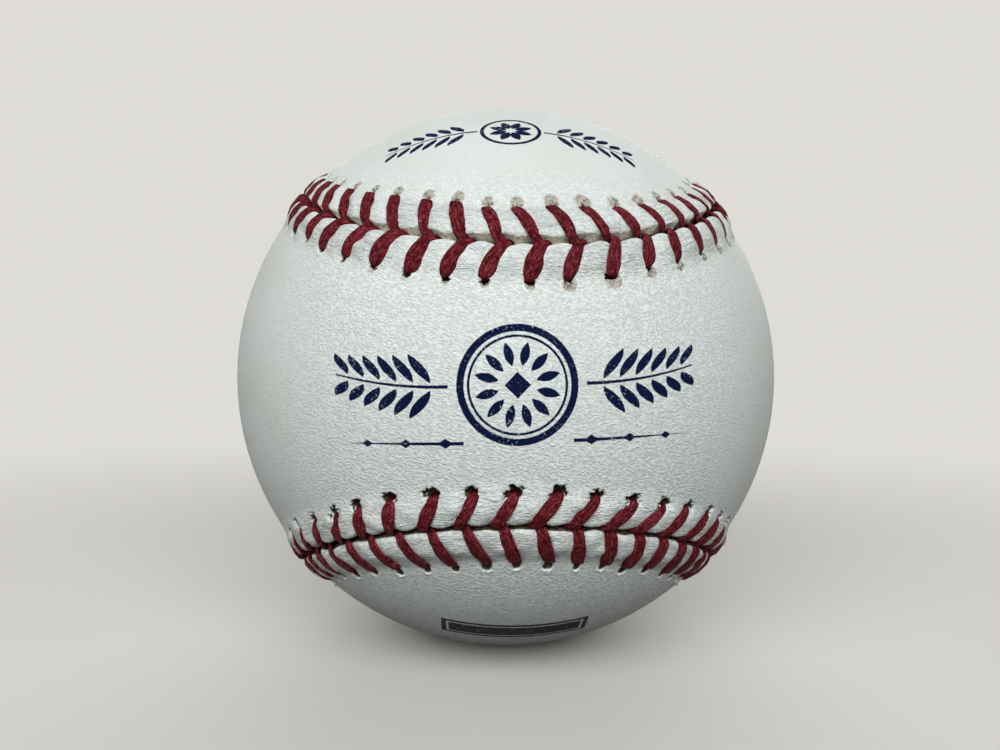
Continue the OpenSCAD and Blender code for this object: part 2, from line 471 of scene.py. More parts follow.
def close_tree(graph, shape):
    """Ends a tree: smooth faces, real geometry, one material."""
    smooth = graph.node("GeometryNodeSetShadeSmooth", {}, [shape])
    real = graph.node("GeometryNodeRealizeInstances", {}, [smooth])
    done = graph.node(
        "GeometryNodeSetMaterial", {}, {"Geometry": real, "Material": graph.entry.out("Material")}
    )
    graph.node("NodeGroupOutput", {}, [done])


def grow(piece, graph, values):
    """Runs a tree on a piece once, and keeps the result as the piece's plain mesh."""
    modifier = piece.modifiers.new(graph.tree.name, "NODES")
    modifier.node_group = graph.tree
    for socket in graph.tree.interface.items_tree:
        if socket.name in values:
            modifier[socket.identifier] = values[socket.name]
    depsgraph = bpy.context.evaluated_depsgraph_get()
    mesh = bpy.data.meshes.new_from_object(
        piece.evaluated_get(depsgraph), preserve_all_data_layers=True, depsgraph=depsgraph
    )
    piece.modifiers.remove(modifier)
    piece.data = mesh
    return piece


# What differs between the panels

class FrontPanel:
    """The front panel's edge, torn holes and legs.

    Names that start with low_ count on the lower half alone. Widths and lengths of scuffs, shifts,
    lips and sunk ends are in millimetres, and the rest are shares. A row of the plunge, where a leg
    dives into the seam, has its place along the seam from the tip, off the seam and its height in
    millimetres, and its width and thickness as shares of the leg's."""

    edge_sharpness = 0.3
    scuff_width, scuff_length = 0.75, 0.9
    opening, low_opening = 0.62, 0.4
    low_shift, low_lip = 0.2, 0.03
    low_calm, low_shallow = 0, 0
    low_squeeze, low_pull = 0.6, 0.25
    bluntness = (0.75, 1.0)
    mouth = 0.7
    end_width, end_sunk, next_sunk = 0.86, 0.1, 0.02
    plunge = (
        (-0.12, 0.36, 0.18, 0.66, 0.9),
        (-0.36, 0.12, -0.06, 0.5, 0.8),
        (-0.6, -0.04, -0.36, 0.36, 0.75),
        (-0.64, -0.16, -0.9, 0.36, 0.75),
    )


class BackPanel:
    """The same for the back panel, with tight holes above, and wider but shallow ones low down."""

    edge_sharpness = 1.0
    scuff_width, scuff_length = 0.92, 1.02
    opening, low_opening = 0.3, 0.5
    low_shift, low_lip = 0.3, 0.12
    low_calm, low_shallow = 0.8, 0.5
    low_squeeze, low_pull = 0, 0
    bluntness = (0.85, 1.05)
    mouth = 0.88
    end_width, end_sunk, next_sunk = 0.96, 0.02, -0.02
    plunge = (
        (-0.1, 0.36, 0.1, 0.76, 1),
        (-0.24, 0.06, -0.2, 0.7, 1),
        (-0.34, -0.14, -0.6, 0.62, 1),
        (-0.3, -0.3, -1.0, 0.6, 1),
    )


FRONT, BACK = 1, -1
PANELS = {FRONT: FrontPanel, BACK: BackPanel}
SIDES = {"front": FRONT, "back": BACK}


# Seam

def unit(v):
    return v / np.linalg.norm(v, axis=-1, keepdims=True)


def smooth_step(t):
    t = np.clip(t, 0, 1)
    return t * t * t * (t * (6 * t - 15) + 10)


class Seam:
    """The closed curve that parts the ball into two alike panels, as the solids follow it."""

    table_steps = 2880
    first_angle = TURN / 8
    lag_spread = 0.03
    reach_spread = 0.1 * MM

    def __init__(self, settings):
        self.ball_radius = BALL_RADIUS
        self.stitches = settings.stitches
        self.lobe = settings.lobe_share
        self.rise = (1 - self.lobe) / math.tan(settings.neck_width / 2 / self.ball_radius)
        self.angles = self.first_angle + np.linspace(0, TURN, self.table_steps + 1)
        line = unit(self.raw(self.angles))
        steps = np.linalg.norm(np.diff(line, axis=0), axis=1)
        self.runs = np.concatenate([[0], np.cumsum(steps)])
        self.turn = self.runs[-1] * self.ball_radius
        self.pitch = self.turn / self.stitches
        self.hole_off = settings.hole_off
        self.hole_lag = {FRONT: settings.front_hole_lag, BACK: settings.back_hole_lag}
        self.tip = {FRONT: settings.front_tip, BACK: settings.back_tip}
        rng = np.random.default_rng(self.stitches)
        # The bow is turned the other way on the upper half of the front panel
        self.lag, self.reach, self.scuff, self.bow = {}, {}, {}, {}
        for side, column in ((FRONT, 1), (BACK, 2)):
            knots = HOLE_DRIFT[:, 0] / COUNTED_STITCHES * self.stitches
            stitch = np.arange(self.stitches)
            lag, reach, self.scuff[side] = (
                np.interp(stitch, knots, HOLE_DRIFT[:, place], period=self.stitches)
                for place in (column, column + 2, column + 4)
            )
            lag = lag + rng.normal(0, self.lag_spread, self.stitches)
            reach = reach * MM + rng.normal(0, self.reach_spread, self.stitches)
            self.lag[side] = self.hole_lag[side] + settings.drift * (lag - self.hole_lag[side])
            self.reach[side] = self.hole_off + settings.drift * (reach - self.hole_off)
            height = self.at(stitch)[0][:, 2]
            upper = smooth_step(2 * height + 0.5) if side == FRONT else np.zeros(self.stitches)
            self.bow[side] = settings.bow_share * (2 * upper - 1)

    def raw(self, u):
        """Points on the lines from the ball's middle to the seam, at angles of its formula."""
        x = np.cos(u) - self.lobe * np.cos(3 * u)
        z = np.sin(u) + self.lobe * np.sin(3 * u)
        return np.stack([x, self.rise * np.cos(2 * u), z], axis=-1)

    def slope(self, u):
        """How those points change with the angle."""
        x = 3 * self.lobe * np.sin(3 * u) - np.sin(u)
        z = np.cos(u) + 3 * self.lobe * np.cos(3 * u)
        return np.stack([x, -2 * self.rise * np.sin(2 * u), z], axis=-1)

    def at(self, stitches):
        """Outward, along the seam, and towards the front panel, a number of stitches along."""
        run = np.mod(np.asarray(stitches) / self.stitches, 1) * self.runs[-1]
        u = np.interp(run, self.runs, self.angles)
        out = unit(self.raw(u))
        slope = self.slope(u)
        along = unit(slope - np.sum(slope * out, axis=-1, keepdims=True) * out)
        return out, along, np.cross(out, along)

    def cover_at(self, stitches, off):
        """Outward, a number of stitches along the seam and a length off it."""
        out, _, across = self.at(stitches)
        angle = np.asarray(off)[..., None] / self.ball_radius
        return out * np.cos(angle) + across * np.sin(angle)

    def leg_line(self, side, way, lag, bow=0):
        """Place along the seam, as a length, of the middle of a leg part of its way to the hole."""
        way = np.clip(way, 0, 1)
        bowed = way + bow * way * (1 - way)
        return self.tip[side] + (lag * self.pitch - self.tip[side]) * bowed

    def between(self, values, places):
        """Values of the stitches, at places between them."""
        return np.interp(places, np.arange(self.stitches), values, period=self.stitches)


class Waves:
    """Seeded uneven heights on the strip along the seam, which meet where the strip closes."""

    def __init__(self, rng, seam, count, shortest, longest):
        lengths = rng.uniform(shortest, longest, count)
        turns = rng.uniform(0, TURN, count)
        self.along = np.round(seam.turn / lengths * np.cos(turns)) * TURN / seam.turn
        self.off = np.sin(turns) * TURN / lengths
        self.phase = rng.uniform(0, TURN, count)
        self.share = math.sqrt(2 / count)

    def at(self, along, off):
        total = 0
        for a, b, c in zip(self.along, self.off, self.phase):
            total = total + np.sin(a * along + b * off + c)
        return total * self.share


# Leather

class Leather:
    """Heights over the ball of one panel's leather, at places along and off the seam."""

    # Columns of points to a stitch, and how much closer they stand at its leg
    columns, tightness = 20, 0.35
    # Height on the ball, as a share of its radius, from which and over which the seam comes to
    # stand open, and the lower half's holes give way to the upper half's
    open_from, open_over = -0.25, 0.6
    low_from, low_over = -0.15, 0.3
    # Share of the edge's round that shows, and of the crown that stands between and at the legs
    round_share = 0.88
    puff_mean, puff_swing = 0.89, 0.11
    # Width along the seam over which a leg draws the edge back, and how uneven the edge is
    drawn_width, edge_unevenness, edge_fade = 1.1 * MM, 0.06 * MM, 3.0 * MM
    lean_start, lean_end = 1.6 * MM, 7.6 * MM
    bed_start, bed_fade = 0.2 * MM, 1.1 * MM
    tear_limit = 1.2
    lump_height, lump_off, lump_fade = 0.03 * MM, 3.5 * MM, 2.5 * MM
    opening_shift = 0.25
    opening_wall = 0.14 * MM
    opening_end, opening_fade = 1.05 * MM, 0.25 * MM
    rim_off, rim_width, rim_fade = 0.2 * MM, 0.09 * MM, 0.4 * MM
    lip_height = 0.06
    scuff_height = 0.08 * MM
    # A scuff's middle beyond the hole and its least size, as shares of its own, how scuffed a hole
    # has to be for the whole of it to show, and how soft it ends
    scuff_middle, scuff_least, scuff_full, scuff_fade = 0.72, 0.4, 0.5, 0.6
    # How uneven lumps make the crown, and tears the lip, the openings and the scuffs, and how
    # scuffed a rim is
    lump_share, lip_tear, pit_tear, scuff_tear, rim_scuff = 0.1, 0.4, 0.28, 0.1, 0.15

    def __init__(self, seam, settings, side):
        rng = np.random.default_rng(settings.seed + side)
        self.seam = seam
        self.settings = settings
        self.side = side
        self.panel = PANELS[side]
        self.lumps = Waves(rng, seam, count=24, shortest=1.6 * MM, longest=6 * MM)
        self.tears = Waves(rng, seam, count=32, shortest=0.35 * MM, longest=1.0 * MM)
        self.pit_size = rng.uniform(0.85, 1.2, seam.stitches)
        self.pit_shift = rng.normal(0, 0.1 * MM, (2, seam.stitches))
        self.lip_share = rng.uniform(0.3, 1.2, seam.stitches)
        count = self.columns * seam.stitches
        self.stitch, part = np.divmod(np.arange(count), self.columns)
        part = part / self.columns
        part = part + self.tightness / TURN * np.sin(TURN * part)
        self.place = self.stitch - 0.5 + part
        self.beside = (part - 0.5) * seam.pitch
        out, _, _ = seam.at(self.place)
        openness = smooth_step((out[:, 2] - self.open_from) / self.open_over)
        gap = settings.tight_gap + (settings.open_gap - settings.tight_gap) * openness
        sharp = openness * self.panel.edge_sharpness
        self.edge_round = settings.edge_round + (settings.sharp_round - settings.edge_round) * sharp
        drawn = settings.scallop * np.exp(-((self.beside / self.drawn_width) ** 2))
        uneven = self.edge_unevenness * self.lumps.at(self.place * seam.pitch, 0)
        self.edge = gap / 2 + drawn + uneven
        self.lower = 1 - smooth_step((out[:, 2] - self.low_from) / self.low_over)
        self.openness = openness
        self.lag = seam.between(seam.lag[side], self.place)
        self.reach = seam.between(seam.reach[side], self.place)
        self.bow = seam.between(seam.bow[side], self.place)
        scuffed = np.clip(seam.scuff[side] * rng.uniform(0.75, 1.15, seam.stitches), 0, 1)
        self.scuffed = scuffed[self.stitch] * (1 - self.lower)

    def along(self, off):
        """The columns lean with the legs as far as the holes, and stand square again further on."""
        start = self.reach + self.lean_start
        ease = 1 - smooth_step((off - start) / (self.lean_end - start))
        lean = self.seam.leg_line(self.side, off / self.reach, self.lag, self.bow)
        return self.place * self.seam.pitch + lean * ease

    def bed_height(self, off, beside, reach, unevenness=0.0):
        """Height without the round of the edge and the tears: the crowns and the legs' beds."""
        sizes = self.settings
        crown = sizes.crown * smooth_step(1 - (off - sizes.crown_off) / sizes.crown_fall)
        puff = self.puff_mean - self.puff_swing * np.cos(TURN * beside / self.seam.pitch)
        bed = sizes.bed_depth * np.exp(-((beside / sizes.bed_width) ** 2))
        fade = 1 - smooth_step((off - reach + self.bed_start) / self.bed_fade)
        return crown * puff * (1 + unevenness) - bed * fade

    def round_drop(self, inside):
        """How far the leather's round edge lies below, at a distance inside the edge."""
        rest = 1 - np.clip(inside / self.edge_round, 0, 1)
        return self.round_share * self.edge_round * (1 - np.sqrt(1 - rest**2))

    def heights(self, inside):
        """Off, along, height, and the marks of the row (raw cut edge, torn opening, scuff) of one row of
        the outer surface; the finish paints shade in the torn opening.
        """
        off = inside + self.edge * (1 - smooth_step(inside / self.edge_fade))
        along = self.along(off)
        lumps = self.lumps.at(along, off)
        tears = np.clip(self.tears.at(along, off), -self.tear_limit, self.tear_limit)
        height = self.bed_height(off, self.beside, self.reach, self.lump_share * lumps)
        height = height - self.round_drop(inside)
        near = 1 - smooth_step((off - self.lump_off) / self.lump_fade)
        height = height + self.lump_height * near * lumps
        calm = 1 - self.panel.low_calm * self.lower
        pit, rim = self.opening(off, calm * tears)
        scuff = self.scuff_at(off, tears)
        lip = (self.lip_height + self.lower * self.panel.low_lip) * self.lip_share[self.stitch]
        depth = self.settings.pit_depth * (1 - self.panel.low_shallow * self.lower)
        height = height - depth * pit + lip * (1 + self.lip_tear * tears) * MM * rim
        height = height + self.scuff_height * scuff * tears
        scuff = np.clip(scuff + self.rim_scuff * calm * rim, 0, 1)
        wear_and_shade = np.stack([np.zeros_like(off), pit, scuff], axis=-1)
        return off, along, height, wear_and_shade

    def opening(self, off, tears):
        """The torn opening of each hole and the raised rim beyond it, both from 0 to 1."""
        shift_along, shift_off = self.pit_shift[:, self.stitch]
        across = self.beside - shift_along
        beyond = off - (self.pit_off() + shift_off)
        reach = np.hypot(across, beyond)
        radius = self.pit_reach() * (1 + self.pit_tear * tears)
        pit = smooth_step((radius - reach) / self.opening_wall + 0.5)
        pit = pit * (1 - smooth_step((off - self.reach - self.opening_end) / self.opening_fade))
        across = across * (1 + self.panel.low_squeeze * self.lower)
        beyond = np.where(beyond > 0, beyond * (1 - self.panel.low_pull * self.lower), beyond)
        far = smooth_step((beyond - 0.9 * np.abs(across)) / self.rim_fade + 0.3)
        return pit, np.exp(-(((reach - radius - self.rim_off) / self.rim_width) ** 2)) * far

    def scuff_at(self, off, tears):
        """The scuffed patch beyond each hole, from 0 to 1."""
        wide, tall = self.panel.scuff_width * MM, self.panel.scuff_length * MM
        across = self.beside - self.pit_shift[0, self.stitch]
        patch = np.hypot(across / wide, (off - self.reach - self.scuff_middle * tall) / tall)
        grown = self.scuff_least + (1 - self.scuff_least) * self.scuffed
        patch = patch / (self.pit_size[self.stitch] * grown) + self.scuff_tear * tears
        shown = smooth_step(self.scuffed / self.scuff_full)
        return shown * (1 - smooth_step((patch - self.scuff_fade) / self.scuff_fade))

    def pit_off(self):
        """Distance from the seam to the middle of each torn opening."""
        shift = self.opening_shift + self.lower * self.panel.low_shift
        return self.reach + shift * MM

    def pit_reach(self):
        """Radius of each torn opening, which is wider on the lower half."""
        share = self.panel.opening + self.panel.low_opening * self.lower
        return self.settings.pit_radius * share * self.pit_size[self.stitch]


class Shell:
    """Collects the rows of a closed leather panel."""

    # How deep the rows of the cut edge lie in it, as shares
    edge_depths = (1, 0.66, 0.33)
    # The plain middle has one point to four of the rim, and starts this far off the seam
    coarseness, plain_off = 4, 8.5 * MM
    # Where the lining's first row lies, as a share of that distance
    lining_share = 0.4
    # Rungs between two points of the middle's edge that face each other
    outer_rungs, inner_rungs = 18, 12
    # Distance off the seam that the points of the middle carry
    far_off = 20 * MM
    # Where the tip of a lobe lies, as a share of the seam's turn
    lobe_tips = {FRONT: 7 / 8, BACK: 1 / 8}

    def __init__(self, seam, side):
        self.seam = seam
        self.side = side
        self.points = []
        self.places = []
        self.wear_and_shade = []
        self.faces = {3: [], 4: []}
        self.count = 0

    def add(self, points, places=None, wear_and_shade=None):
        points = np.atleast_2d(points)
        far = np.tile([0, 0, self.far_off], (len(points), 1))
        self.points.append(points)
        self.places.append(far if places is None else places)
        self.wear_and_shade.append(np.zeros((len(points), 3)) if wear_and_shade is None else wear_and_shade)
        self.count += len(points)
        return np.arange(self.count - len(points), self.count)

    def add_row(self, along, off, radius, wear_and_shade=None):
        """A row of points at places along the seam, with the pattern's own place for each."""
        stitches = along / self.seam.pitch
        points = radius[:, None] * self.seam.cover_at(stitches, self.side * off)
        angle = along / self.seam.turn * TURN
        reach = self.seam.turn / TURN
        places = np.stack([reach * np.cos(angle), reach * np.sin(angle), off], axis=-1)
        return self.add(points, places, wear_and_shade)

    def face(self, *corners):
        self.faces[len(corners)].append(np.stack([np.ravel(c) for c in corners], axis=-1))

    def band(self, outer, inner):
        self.face(outer, np.roll(outer, -1), np.roll(inner, -1), inner)

    def narrow(self, fine, coarse):
        """Joins a row to a coarse one, with one point to four."""
        a, b, c, d = fine.reshape(-1, self.coarseness).T
        after = np.roll(a, -1)
        follow = np.roll(coarse, -1)
        self.face(a, b, coarse)
        self.face(b, c, coarse)
        self.face(c, follow, coarse)
        self.face(c, d, follow)
        self.face(d, after, follow)

    def ladder(self, ring, radius, steps):
        """Fills a ring with rungs of equal arcs between the points that mirror each other."""
        count = len(ring)
        points = np.concatenate(self.points)[ring]
        half = count // 2
        near = unit(points[1:half])
        far = unit(points[:half:-1])
        angle = np.arccos(np.clip(np.sum(near * far, axis=1), -1, 1))[:, None]
        rungs = [ring[1:half]]
        for j in range(1, steps):
            way = j / steps
            arc = (np.sin((1 - way) * angle) * near + np.sin(way * angle) * far) / np.sin(angle)
            rungs.append(self.add(radius * arc))
        rungs.append(ring[:half:-1])
        for a, b in zip(rungs[:-1], rungs[1:]):
            self.face(a[:-1], a[1:], b[1:], b[:-1])
            self.face(ring[:1], a[:1], b[:1])
            self.face(a[-1:], ring[half:half + 1], b[-1:])

    def turned(self, start):
        """Turns the faces made from a count on to the other side."""
        for corners, first in start.items():
            made = self.faces[corners]
            made[first:] = [part[:, ::-1] for part in made[first:]]

    def marks(self):
        return {corners: len(made) for corners, made in self.faces.items()}


def rim_rows(leather):
    """Distances inside the edge of a panel's rows: its round, the crown, the holes and the rest."""
    edge_turns = np.radians([0, 14, 30, 48, 68, 90])
    crown_rows, crown_end = 8, 1.0 * MM
    crown = np.arange(1, crown_rows + 1)[:, None] / crown_rows
    torn = np.concatenate([[-0.8, -0.62, -0.45], np.arange(-0.3, 1.45, 0.13)]) * MM
    beyond = leather.reach + torn[-1]
    apart = np.array([0.1, 0.24, 0.44, 0.7, 1])[:, None]
    edge_round = leather.edge_round
    return np.concatenate(
        [
            np.outer(1 - np.cos(edge_turns), edge_round),
            edge_round + crown * (leather.reach - crown_end - edge_round),
            leather.reach + torn[:, None],
            beyond + apart * (leather.lean_end - beyond),
        ]
    )


def leather_panel(seam, settings, side):
    """One panel as a closed mesh: cut edge, crowned and torn rim, plain middle and inner side."""
    leather = Leather(seam, settings, side)
    shell = Shell(seam, side)
    radius = seam.ball_radius
    inner_radius = radius - settings.thickness
    raw_share = np.outer([1, 0.9, 0.45, 0.1], 0.25 + 0.75 * leather.openness)
    # Painted shadow: where the seam is drawn tight, the edge rows are painted dark through the second
    # channel, as the shadow in the gap
    painted_gap_shadow = np.outer([1, 0.6, 0.15, 0], 1 - leather.openness)
    rows = []
    for index, distance in enumerate(rim_rows(leather)):
        off, along, height, wear_and_shade = leather.heights(distance)
        if index < len(raw_share):
            wear_and_shade[:, 0] = raw_share[index]
            wear_and_shade[:, 1] = painted_gap_shadow[index]
        if index == 0:
            raw = wear_and_shade.copy()
            raw[:, 0] = 1
            for depth in shell.edge_depths:
                low = inner_radius + (1 - depth) * (radius + height - inner_radius)
                foot = off - depth * settings.edge_slope * leather.openness
                rows.append(shell.add_row(along, foot, low, raw))
        rows.append(shell.add_row(along, off, radius + height, wear_and_shade))
    for outer, inner in zip(rows[:-1], rows[1:]):
        shell.band(outer, inner)

    tip = shell.lobe_tips[side]
    first = round((tip * seam.stitches + 0.5) * leather.columns)
    coarse_place = np.roll(leather.place, -first)[::shell.coarseness] * seam.pitch
    flat = np.full(len(coarse_place), shell.plain_off)
    level = np.ones(len(flat))
    ring = shell.add_row(coarse_place, flat, radius * level)
    shell.narrow(np.roll(rows[-1], -first), ring)
    shell.ladder(ring, radius, shell.outer_rungs)

    marks = shell.marks()
    lining = shell.add_row(coarse_place, flat * shell.lining_share, inner_radius * level)
    shell.narrow(np.roll(rows[0], -first), lining)
    lining_ring = shell.add_row(coarse_place, flat, inner_radius * level)
    shell.band(lining, lining_ring)
    shell.ladder(lining_ring, inner_radius, shell.inner_rungs)
    shell.turned(marks)

    points = np.concatenate(shell.points)
    faces = turned_out(points, [np.concatenate(part) for part in shell.faces.values()])
    mesh = mesh_of("leather", points, faces)
    set_vectors(mesh, "seam_place", np.concatenate(shell.places))
    set_vectors(mesh, "wear_and_shade", np.concatenate(shell.wear_and_shade))
    return mesh


class Ink:
    """Stamped ornaments as masks: 1 where there is ink. Places are in millimetres."""

    unevenness = 0.09
    softness = 0.04
    cell_edge = 0.001
    # A stalk's half width, its start before the leaves, its end after them in steps of a leaf, and
    # how far beyond that end it would come to a point
    stalk_half, stalk_early, stalk_steps, stalk_taper = 0.17, 0.6, 0.4, 4
    leaf_shrink = 0.45

    def __init__(self, finish, azimuth, elevation, tilt=0.0):
        """Looks at the ball's surface from outside at an angle, with the tilt counter-clockwise."""
        self.finish = finish
        east = Vector((math.cos(azimuth), math.sin(azimuth), 0))
        out = Vector(
            (
                math.sin(azimuth) * math.cos(elevation),
                -math.cos(azimuth) * math.cos(elevation),
                math.sin(elevation),
            )
        )
        north = out.cross(east)
        right = east * math.cos(tilt) + north * math.sin(tilt)
        up = north * math.cos(tilt) - east * math.sin(tilt)
        wobble = (finish.noise(finish.place, 3.1, 2) - 0.5) * self.unevenness
        self.x = finish.place.dot(tuple(right)) + wobble
        self.y = finish.place.dot(tuple(up)) + wobble
        self.facing = finish.place.dot(tuple(out)).step(0, 1)

    def soft(self, distance):
        """1 inside a shape whose distance is below zero, with an edge as soft as ink on grain."""
        return 1 - distance.step(-self.softness, self.softness)

    def ring(self, radius, half_width):
        return self.soft(abs(self.reach() - radius) - half_width)

    def reach(self):
        return (self.x * self.x + self.y * self.y) ** 0.5

    def lozenge(self, x, y, half_width, half_height):
        share = abs(x) / half_width + abs(y) / half_height
        return self.soft((share - 1) * min(half_width, half_height))

    def rosette(self, petals, inner, outer, width):
        """Pointed petals round the middle."""
        angle = self.finish.math("ARCTAN2", self.y, self.x)
        cell = self.finish.math("FRACT", angle * (petals / TURN) + petals)
        sideways = (cell - 0.5) * self.reach() * (TURN / petals)
        middle = (inner + outer) / 2
        way = (self.reach() - middle) / ((outer - inner) / 2)
        return self.soft(abs(sideways) - (1 - way * way) * width)

    def leaves(self, start, step, count, lean, stalk, size, width, curl=0.0):
        """Pairs of leaves along both sides of a stalk that runs out to the left and the right."""
        x = abs(self.x)
        y = self.y - (x - start) * (x - start) * curl
        run = (x - start - abs(y) * lean) / step
        cell = self.finish.math("FLOOR", run)
        sideways = (run - cell - 0.5) * step
        grown = size - cell * (self.leaf_shrink * size / count)
        way = (abs(y) - stalk) / grown
        leaf = (way - way * way) * 4 * width
        edge = self.cell_edge
        inside = run.step(-edge, edge) * (1 - (run - count).step(-edge, edge))
        leaves = self.soft(abs(sideways) - leaf) * inside
        far = start + step * (count + self.stalk_steps)
        reach = self.soft((start - self.stalk_early) - x) * self.soft(x - far)
        taper = 1 - (x - start) / (far + self.stalk_taper)
        return leaves.at_least(self.soft(abs(y) - taper * self.stalk_half) * reach)

    def rule(self, low, half_length, half_height):
        """A line that runs out to a point at both ends."""
        taper = 1 - (self.x / half_length) * (self.x / half_length)
        return self.soft(abs(self.y - low) - taper * half_height)

    def stamped(self, mask, gaps):
        """The mask with the bare specks that the grain leaves in it."""
        return mask * self.facing * (1 - gaps)


def front_mark(finish):
    """A rosette in a ring between two sprays of leaves, over a line with lozenges on it."""
    ink = Ink(finish, azimuth=math.radians(-0.6), elevation=0, tilt=math.radians(1.9))
    mask = ink.ring(radius=5.6, half_width=0.36).at_least(ink.ring(radius=4.8, half_width=0.13))
    mask = mask.at_least(ink.rosette(petals=12, inner=1.9, outer=4.3, width=0.46))
    mask = mask.at_least(ink.lozenge(ink.x, ink.y, half_width=1.3, half_height=1.3))
    leaves = ink.leaves(
        start=7.4, step=1.72, count=6, lean=0.75, stalk=0.34, size=2.9, width=0.64, curl=0.012
    )
    mask = mask.at_least(leaves)
    side = abs(ink.x)
    line_low, line_start, line_end = 5.6, 5.4, 18
    for place in (7.2, 11.2, 15.2):
        size = 0.62 - place * 0.015
        mask = mask.at_least(ink.lozenge(side - place, ink.y + line_low, size * 1.5, size))
    line = ink.rule(-line_low, line_end, half_height=0.2) * ink.soft(line_start - side)
    return ink, mask.at_least(line)


def top_mark(finish):
    """A small rosette in a ring between two sprays of leaves, on the upper lobe."""
    ink = Ink(finish, math.radians(-1.5), math.radians(50.5), math.radians(-1))
    mask = ink.rosette(petals=8, inner=0.5, outer=2.6, width=0.56)
    mask = mask.at_least(ink.ring(radius=3.3, half_width=0.22))
    leaves = ink.leaves(
        start=4.4, step=1.55, count=6, lean=0.7, stalk=0.3, size=2.4, width=0.56, curl=-0.01
    )
    return ink, mask.at_least(leaves)


def low_band(finish):
    """A plain band with a bare line inside its border, on the lower lobe."""
    ink = Ink(finish, azimuth=math.radians(0.8), elevation=math.radians(-52.5))
    half_length, half_height, border, half_line = 8.6, 2.2, 0.7, 0.14
    band = (abs(ink.x) - half_length).at_least(abs(ink.y) - half_height)
    inner = (abs(ink.x) - (half_length - border)).at_least(abs(ink.y) - (half_height - border))
    return ink, ink.soft(band) * (1 - ink.soft(abs(inner) - half_line))


